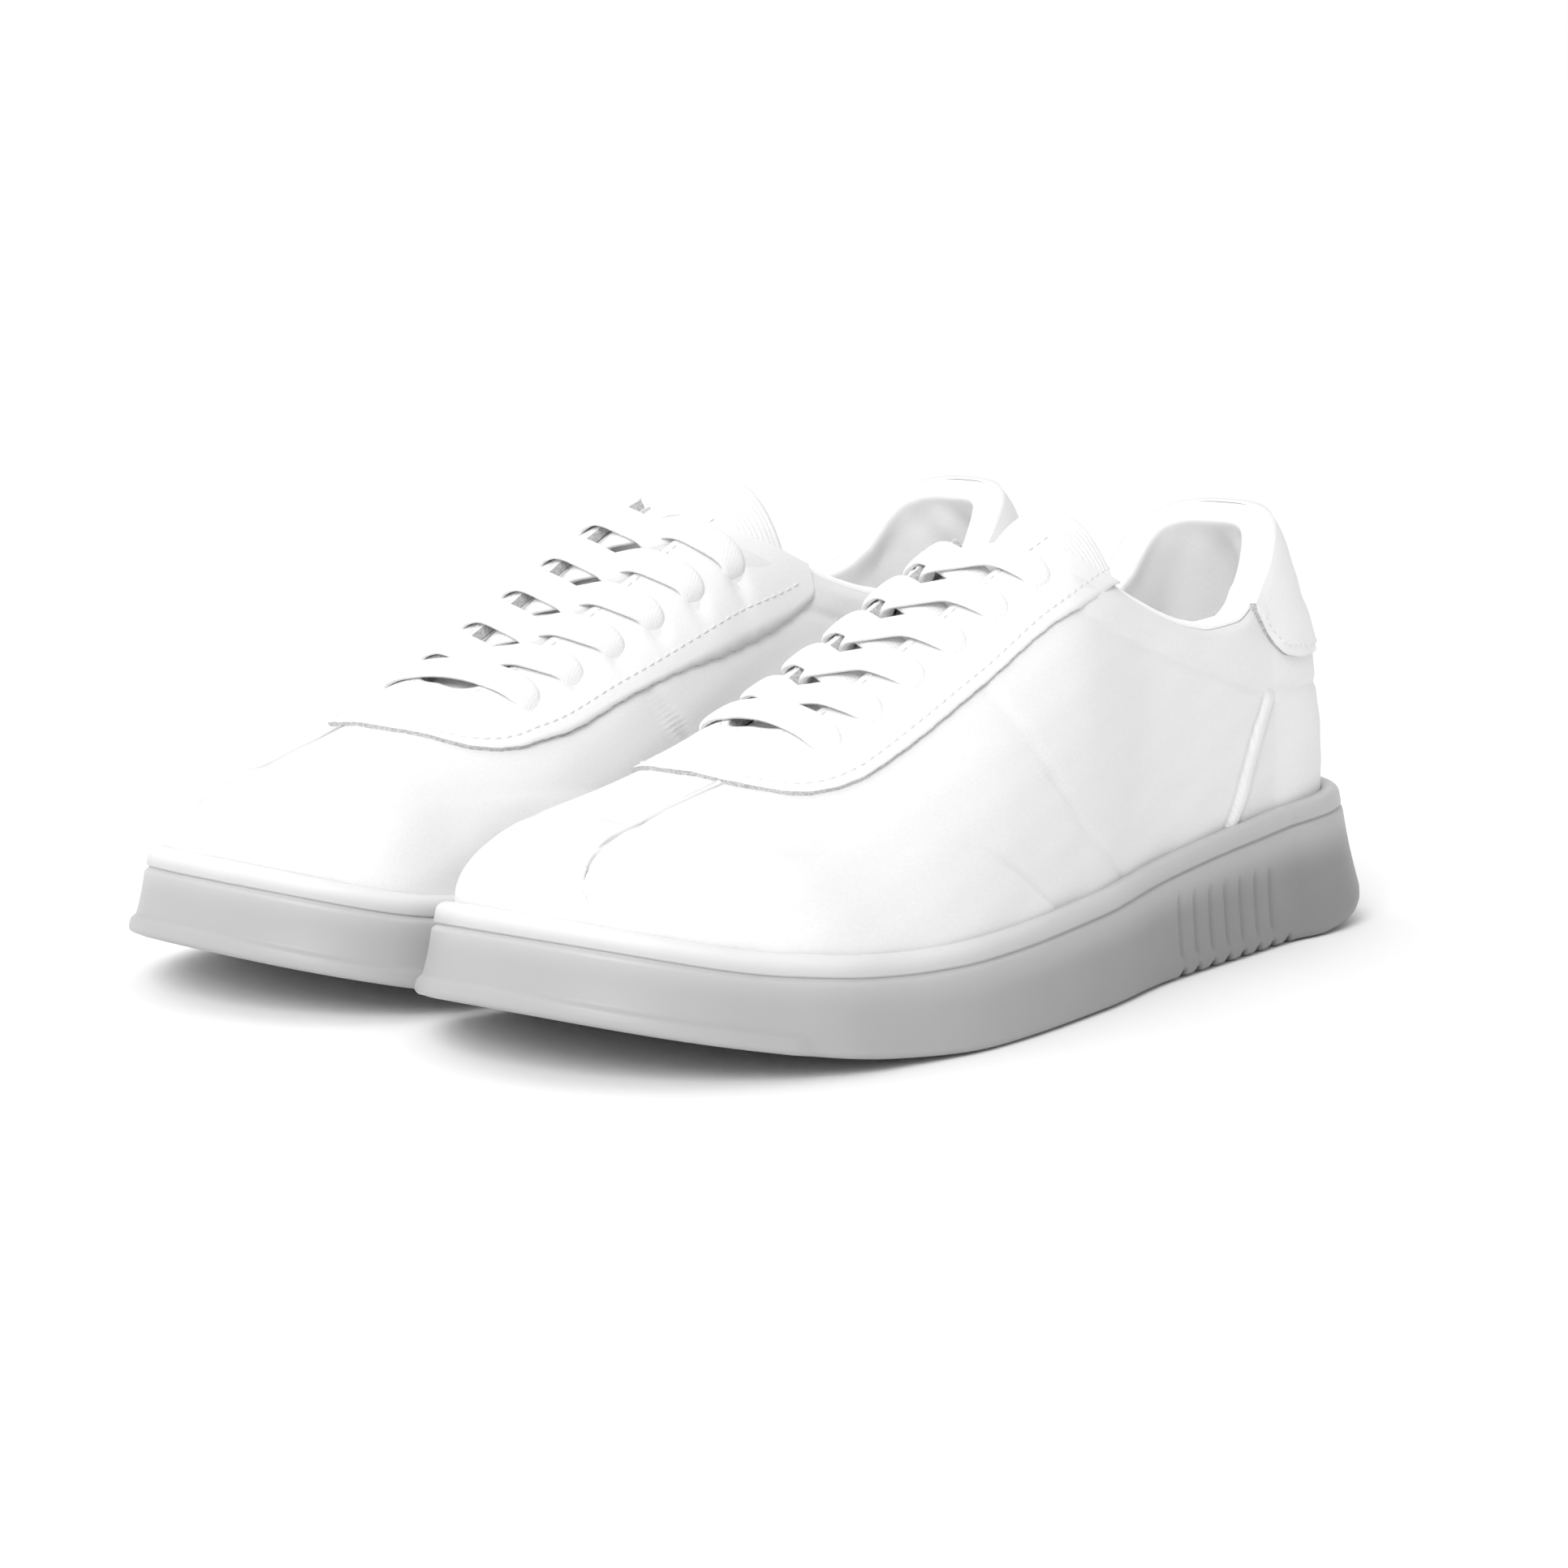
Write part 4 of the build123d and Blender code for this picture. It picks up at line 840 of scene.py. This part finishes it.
def tongue_piece(side):
    """Padded tongue: a rounded sheet that swells between its edges."""
    rows, arc = 90, 33
    s = np.linspace(0, 1, rows)
    x = TONGUE_TOP - 0.6 + (TONGUE_ROOT - TONGUE_TOP) * s
    t = np.cos(np.linspace(math.pi, 0, arc))
    swell = 1 - np.abs(t) ** 6
    end = np.minimum(1, np.sqrt(np.clip(1 - (1 - np.minimum(s / 0.03, 1)) ** 2, 0.02, 1)))
    xs, ts = np.meshgrid(x, t, indexing="ij")
    middle = sum(TONGUE_DEPTH) / 2
    half = (TONGUE_DEPTH[1] - TONGUE_DEPTH[0]) / 2
    waves = 0.35 * np.sin(xs * 2 * math.pi / 14.3) * (1 - ts ** 2) * smooth((215 - xs) / 20)
    thick = half * end[:, None] * np.sqrt(np.clip(swell[None, :], 0.02, 1))
    top = tongue_point(xs, ts, middle - thick * 1.12 + waves)
    bottom = tongue_point(xs, ts, middle + thick)[:, ::-1]
    ring = np.concatenate([top, bottom[:, 1:-1]], 1)
    piece = grid_piece(side_name(side, "padded_tongue"), ring, side, closed=True)
    finish_piece(piece, side, "tongue", "collar_knit", TONGUE_CLOTH,
                 *[side_name(side, n) for n in ("tongue_face", "tongue_foam", "tongue_back")])
    return piece


def label_piece(side):
    """Plain ribbed tape folded over the top of the tongue."""
    t = np.linspace(-1, 1, 61) * LABEL_HALF / TONGUE_HALF[0]
    middle, half = sum(TONGUE_DEPTH) / 2, (TONGUE_DEPTH[1] - TONGUE_DEPTH[0]) / 2 + 0.9
    rows = []
    for x in np.linspace(129.5, 114.0, 60):
        rib = 0.14 * math.sin(x * 2 * math.pi / 1.15)
        rows.append(tongue_point(np.full_like(t, x), t, middle - half - rib))
    for a in np.linspace(0, math.pi, 16)[1:-1]:
        x = 114.0 - 2.3 * math.sin(a)
        rows.append(tongue_point(np.full_like(t, x), t, middle - half * math.cos(a)))
    for x in np.linspace(114.0, 121.0, 12):
        rows.append(tongue_point(np.full_like(t, x), t, middle + half))
    piece = grid_piece(side_name(side, "ribbed_label"), np.array(rows), side)
    solid = piece.modifiers.new("thickness", "SOLIDIFY")
    solid.thickness, solid.offset = 0.7 * MM, 0.0
    finish_piece(piece, side, "tongue", "label_tape", TAPE, side_name(side, "tongue_label"))
    return piece


# ---------------------------------------------------------------- lace
LACE_WIDTH, LACE_THICK = 9.5, 2.2
UNDER, BAR = -3.85, 2.2


def lace_normals(path):
    """Normals of the upper below a path."""
    low = over(path[:, 0], path[:, 1], 0.0)
    return over(path[:, 0], path[:, 1], 1.0) - low


def rounded(points, count, passes):
    """Even points along a polyline with its corners eased."""
    path = resample(points, count)
    for _ in range(passes):
        path[1:-1] = (path[:-2] + 2 * path[1:-1] + path[2:]) / 4
    return path


def ribbon(stops, widths):
    """Flat lace through (x, y, height) stops, with a width share at each stop."""
    stops = np.array(stops, float)
    points = over(stops[:, 0], stops[:, 1], stops[:, 2])
    run = np.concatenate([[0], np.cumsum(np.linalg.norm(np.diff(points, axis=0), axis=1))])
    path = rounded(points, 96, 26)
    share = np.interp(np.linspace(0, run[-1], 96), run, widths)
    for _ in range(8):
        share[1:-1] = (share[:-2] + 2 * share[1:-1] + share[2:]) / 4
    normal = lace_normals(path)
    thick = LACE_THICK * (1.25 - 0.25 * share)
    return tube(path, LACE_WIDTH * share, normal, thick, 20, 2.6)


def strand(row, side):
    """One crossing: from under one eyelet, through the slot, over to the next eyelet across."""
    start, end = eyelet(row, side), eyelet(row + 1, -side)
    level = 1.6 if side < 0 else -1.0
    x0, y0 = start
    x1, y1 = end

    def at(y):
        return x0 + (x1 - x0) * (y - y0) / (y1 - y0)

    near = float(throat_centre(x0) + side * throat_half(x0))
    far = float(throat_centre(x1) - side * throat_half(x1))
    crest = 3.4 if side < 0 else 2.9
    return ribbon([(x0, y0, UNDER), (at(near), near - side * 0.3, UNDER),
                   (at(near - side * 4.5), near - side * 4.5, level),
                   (at(far + side * 5), far + side * 5, max(level, 0.2) + 0.6),
                   (at(far + side * 0.5), far + side * 0.5, crest),
                   (at((far + y1) / 2), (far + y1) / 2, 3.0),
                   (x1, y1 + side * 3.2, 2.5), (x1, y1 + side * 0.4, 1.2), (x1, y1, -2.0)],
                  [0.8, 0.9, 1.0, 1.0, 1.0, 1.0, 0.95, 0.7, 0.5])


def lace_piece(side):
    """Flat woven lace: a bar at the front and five crossings."""
    left, right = eyelet(0, 1), eyelet(0, -1)
    stops = [(left[1], -2.0), (left[1] - 0.4, 1.2), (left[1] - 3.2, 2.5), (left[1] - 8, 2.8),
             (4, BAR), (-3, BAR), (-10, BAR), (right[1] + 8, 2.8),
             (right[1] + 3.2, 2.5), (right[1] + 0.4, 1.2), (right[1], -2.0)]
    lean = (left[0] - right[0]) / (left[1] - right[1])
    bar = [(right[0] + lean * (y - right[1]), y, height) for y, height in stops]
    grids = [ribbon(bar, [0.5, 0.7, 0.95, 1, 1, 1, 1, 1, 0.95, 0.7, 0.5])]
    for row in range(len(EYELET_X) - 1):
        for way in (1, -1):
            grids.append(strand(row, way))
    verts, faces, uv = join_grids(grids, True)
    piece = make_mesh(side_name(side, "woven_lace"), verts, faces, side, uv)
    finish_piece(piece, side, "shoe", "lace_cotton", LACE, side_name(side, "lace"))
    return piece


# ---------------------------------------------------------------- materials
CLOTH_SHEEN = 0.2


def new_material(name):
    material = bpy.data.materials.new(name)
    material.use_nodes = True
    nodes, links = material.node_tree.nodes, material.node_tree.links
    return material, nodes, links, nodes["Principled BSDF"]


def colour_of(nodes, links, shader, factor, stops):
    """Base colour from a factor through a ramp of (place, colour) stops."""
    ramp = nodes.new("ShaderNodeValToRGB")
    links.new(factor, ramp.inputs["Fac"])
    elements = ramp.color_ramp.elements
    while len(elements) < len(stops):
        elements.new(0.5)
    for element, (place_at, colour) in zip(elements, stops):
        element.position = place_at
        element.color = (*colour, 1)
    links.new(ramp.outputs["Color"], shader.inputs["Base Color"])


def noise_of(nodes, links, scale, detail):
    """Cloudy factor fixed to the piece, with a scale per metre."""
    coords = nodes.new("ShaderNodeTexCoord")
    noise = nodes.new("ShaderNodeTexNoise")
    noise.inputs["Scale"].default_value = scale
    noise.inputs["Detail"].default_value = detail
    links.new(coords.outputs["Object"], noise.inputs["Vector"])
    return noise.outputs["Fac"]


def wave_of(nodes, links, pitch, direction):
    """Bands of one pitch, in metres, along U or V."""
    coords = nodes.new("ShaderNodeTexCoord")
    wave = nodes.new("ShaderNodeTexWave")
    wave.bands_direction = direction
    wave.inputs["Scale"].default_value = 2 * math.pi / (20 * pitch)
    wave.inputs["Distortion"].default_value = 0.0
    links.new(coords.outputs["UV"], wave.inputs["Vector"])
    return wave.outputs["Fac"]


def mix_of(nodes, links, a, b, share=0.5):
    """Two factors weighed together."""
    both = nodes.new("ShaderNodeMath")
    both.operation = "ADD"
    for place_in, factor, weight in ((0, a, 1 - share), (1, b, share)):
        weighed = nodes.new("ShaderNodeMath")
        weighed.operation = "MULTIPLY"
        weighed.inputs[1].default_value = weight
        links.new(factor, weighed.inputs[0])
        links.new(weighed.outputs[0], both.inputs[place_in])
    return both.outputs[0]


def bump_of(nodes, links, shader, height, strength, distance):
    """Fine relief of a material, with its depth in mm."""
    bump = nodes.new("ShaderNodeBump")
    bump.inputs["Strength"].default_value = strength
    bump.inputs["Distance"].default_value = distance * MM
    links.new(height, bump.inputs["Height"])
    links.new(bump.outputs["Normal"], shader.inputs["Normal"])


def surface(name, dark, light, rough, scale, strength, depth):
    """Grainy material: a noise drives a small colour change and the grain."""
    material, nodes, links, shader = new_material(name)
    grain = noise_of(nodes, links, scale, 6.0)
    colour_of(nodes, links, shader, grain, [(0.3, dark), (0.7, light)])
    bump_of(nodes, links, shader, grain, strength, depth)
    shader.inputs["Roughness"].default_value = rough
    return material


def woven(name, dark, light, rough, across, along, depth):
    """Cloth: two crossing sets of bands, broken up by noise."""
    material, nodes, links, shader = new_material(name)
    weft = wave_of(nodes, links, across, "X")
    warp = wave_of(nodes, links, along, "Y")
    cloth = mix_of(nodes, links, weft, warp)
    fuzz = noise_of(nodes, links, 900.0, 3.0)
    height = mix_of(nodes, links, cloth, fuzz, share=0.35)
    colour_of(nodes, links, shader, height, [(0.1, dark), (0.75, light)])
    bump_of(nodes, links, shader, height, 0.7, depth)
    shader.inputs["Roughness"].default_value = rough
    shader.inputs["Sheen Weight"].default_value = CLOTH_SHEEN
    return material


def grey(value, warm=0.0):
    """Grey, with its blue taken down a little where it is warm."""
    return (value, value, value * (1 - warm))


def rubber():
    """Cloudy rubber, pale at the rim and greyer towards the ground (partly its own tone, partly painted
    shade) and towards the heel (painted shade).
    """
    material, nodes, links, shader = new_material("cloudy_rubber")
    coords = nodes.new("ShaderNodeTexCoord")
    parts = nodes.new("ShaderNodeSeparateXYZ")
    links.new(coords.outputs["UV"], parts.inputs[0])
    cloud = noise_of(nodes, links, 60.0, 5.0)
    tone = mix_of(nodes, links, parts.outputs["Y"], cloud, share=0.05)
    # The UV's second coordinate carries the sole's tone, with painted shade towards the ground and the
    # heel.
    colour_of(nodes, links, shader, tone, [(0.1, grey(0.76)), (0.25, grey(0.58)), (0.45, grey(0.46)),
                                           (0.65, grey(0.40)), (0.95, grey(0.22))])
    fine = noise_of(nodes, links, 1500.0, 3.0)
    bump_of(nodes, links, shader, fine, 0.12, 0.05)
    shader.inputs["Roughness"].default_value = 0.42
    shader.inputs["Subsurface Weight"].default_value = 0.15
    shader.inputs["Subsurface Radius"].default_value = (0.004, 0.004, 0.004)
    shader.inputs["Subsurface Scale"].default_value = 1.0
    return material


RUBBER = rubber()
LEATHER = surface("white_leather", grey(0.78), grey(0.82), 0.5, 1500.0, 0.12, 0.06)
OVERLAY_LEATHER = surface("white_overlay_leather", grey(0.82), grey(0.86), 0.48, 1700.0, 0.12, 0.06)
RAW_EDGE = surface("raw_leather_edge", grey(0.34), grey(0.62), 0.9, 1400.0, 0.8, 0.3)
KNIT = woven("ribbed_knit", grey(0.9), grey(0.97), 0.85, 0.0011, 0.0006, 0.1)
TONGUE_CLOTH = woven("tongue_cloth", grey(0.74), grey(0.92), 0.85, 0.0009, 0.0009, 0.15)
TAPE = woven("ribbed_tape", grey(0.72), grey(0.86), 0.7, 0.0006, 0.0012, 0.1)
LACE = woven("woven_cotton", grey(0.82), grey(0.9), 0.8, 0.0009, 0.0013, 0.12)
THREAD = woven("white_thread", grey(0.66), grey(0.82), 0.7, 0.0005, 0.0005, 0.05)
TEXTILE = woven("footbed_cloth", grey(0.7), grey(0.86), 0.9, 0.0008, 0.0008, 0.1)
HIDDEN = {
    "midsole_insert": ("sole_foam", surface("pale_foam", grey(0.74, 0.03), grey(0.82, 0.03),
                                            0.9, 900, 0.4, 0.2)),
    "bottom_filler": ("filler_cork", surface("cork_filler", (0.34, 0.22, 0.12), (0.58, 0.42, 0.26),
                                             0.9, 500, 0.5, 0.3)),
    "insole_board": ("board_fibre", surface("fibre_board", grey(0.6, 0.12), grey(0.74, 0.1),
                                            0.85, 800, 0.3, 0.1)),
    "heel_counter": ("stiffener", surface("stiffener_sheet", grey(0.66, 0.06), grey(0.76, 0.05),
                                          0.7, 600, 0.3, 0.1)),
    "forefoot_lining": ("lining_textile", surface("lining_cloth", grey(0.7), grey(0.82),
                                                  0.9, 1600, 0.6, 0.15)),
    "eyestay_backing": ("backing_tape", surface("backing_cloth", grey(0.68), grey(0.8),
                                                0.85, 1500, 0.5, 0.1)),
    "outer_aglet": ("aglet_film", surface("clear_film", grey(0.8), grey(0.88), 0.25, 300, 0.1, 0.05)),
}
SAME_FINISH = {"guard_core": "heel_counter", "toe_puff": "heel_counter", "inner_aglet": "outer_aglet"}


def finish_hidden(side):
    """Materials for the CAD pieces that stay."""
    for name in [*HIDDEN, *SAME_FINISH]:
        slot, material = HIDDEN[SAME_FINISH.get(name, name)]
        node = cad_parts[side_name(side, name)]
        node.data.materials.clear()
        node.data.materials.append(material)


# ---------------------------------------------------------------- the pair
def build_shoe(side):
    """Every visible piece of one shoe."""
    sole_piece(side)
    upper_piece(side)
    collar_piece(side)
    footbed_piece(side)
    eyestay_piece(side)
    _, tab_line = heel_tab_piece(side)
    stitch_rows("stay_stitches", [stay_line(2.6, True), stay_line(2.2, False)], side, "shoe", "lace_cotton")
    stitch_rows("tab_stitches", [tab_line], side, "shoe", "lace_cotton")
    tongue_piece(side)
    label_piece(side)
    lace_piece(side)
    finish_hidden(side)


for shoe_side in (1, -1):
    build_shoe(shoe_side)


# ---------------------------------------------------------------- camera, light and floor
CAMERA_PLACE = Vector((0.90065, 0.88816, 0.23656))
CAMERA_YAW, CAMERA_PITCH, CAMERA_LENS = 3.920554, -0.150886, 115.086
DARK_WALL, DARK_WALL_TONE = (-0.5, 0.8, 0.1), 0.45


def add_camera():
    """Camera a little above the toes, on the left shoe's outer side."""
    data = bpy.data.cameras.new("camera")
    data.lens, data.sensor_width = CAMERA_LENS, 36.0
    camera = bpy.data.objects.new("camera", data)
    camera.location = CAMERA_PLACE
    camera.rotation_euler = (math.pi / 2 + CAMERA_PITCH, 0, CAMERA_YAW - math.pi / 2)
    bpy.context.scene.collection.objects.link(camera)
    bpy.context.scene.camera = camera


def add_light(name, place_at, target, size, power):
    """Square soft light aimed at a point."""
    data = bpy.data.lights.new(name, "AREA")
    data.size, data.energy = size, power
    light = bpy.data.objects.new(name, data)
    light.location = place_at
    light.rotation_euler = (Vector(target) - Vector(place_at)).to_track_quat("-Z", "Y").to_euler()
    bpy.context.scene.collection.objects.link(light)


def add_sun(name, source, spread, strength):
    """Even light from one direction, softened by its spread in degrees."""
    data = bpy.data.lights.new(name, "SUN")
    data.angle, data.energy = math.radians(spread), strength
    light = bpy.data.objects.new(name, data)
    light.rotation_euler = Vector(source).to_track_quat("Z", "Y").to_euler()
    bpy.context.scene.collection.objects.link(light)


def add_floor():
    """Pale floor with a soft sweep of tone."""
    bpy.ops.mesh.primitive_plane_add(size=30.0, location=(0, 0, -0.0004))
    floor = bpy.context.object
    floor.name = "studio_floor"
    floor.data.materials.append(surface("studio_paper", grey(0.96), grey(0.97), 0.9, 20.0, 0.02, 0.05))


def add_world():
    """White studio with a darker wall on the outer heel side."""
    world = bpy.data.worlds.new("studio")
    world.use_nodes = True
    nodes, links = world.node_tree.nodes, world.node_tree.links
    coords = nodes.new("ShaderNodeTexCoord")
    towards = nodes.new("ShaderNodeVectorMath")
    towards.operation = "DOT_PRODUCT"
    towards.inputs[1].default_value = DARK_WALL
    ramp = nodes.new("ShaderNodeValToRGB")
    ramp.color_ramp.elements[0].color = (1, 1, 1, 1)
    ramp.color_ramp.elements[1].color = (*grey(DARK_WALL_TONE), 1)
    links.new(coords.outputs["Generated"], towards.inputs[0])
    links.new(towards.outputs["Value"], ramp.inputs["Fac"])
    links.new(ramp.outputs["Color"], nodes["Background"].inputs["Color"])
    bpy.context.scene.world = world


add_camera()
add_world()
add_floor()
add_sun("toe_side", (0.7, 0.35, 0.6), 30.0, 1.5)
add_light("key", (0.5, -1.1, 1.6), (0, 0, 0.05), 1.0, 3.0)
bpy.context.scene.view_settings.view_transform = "Standard"
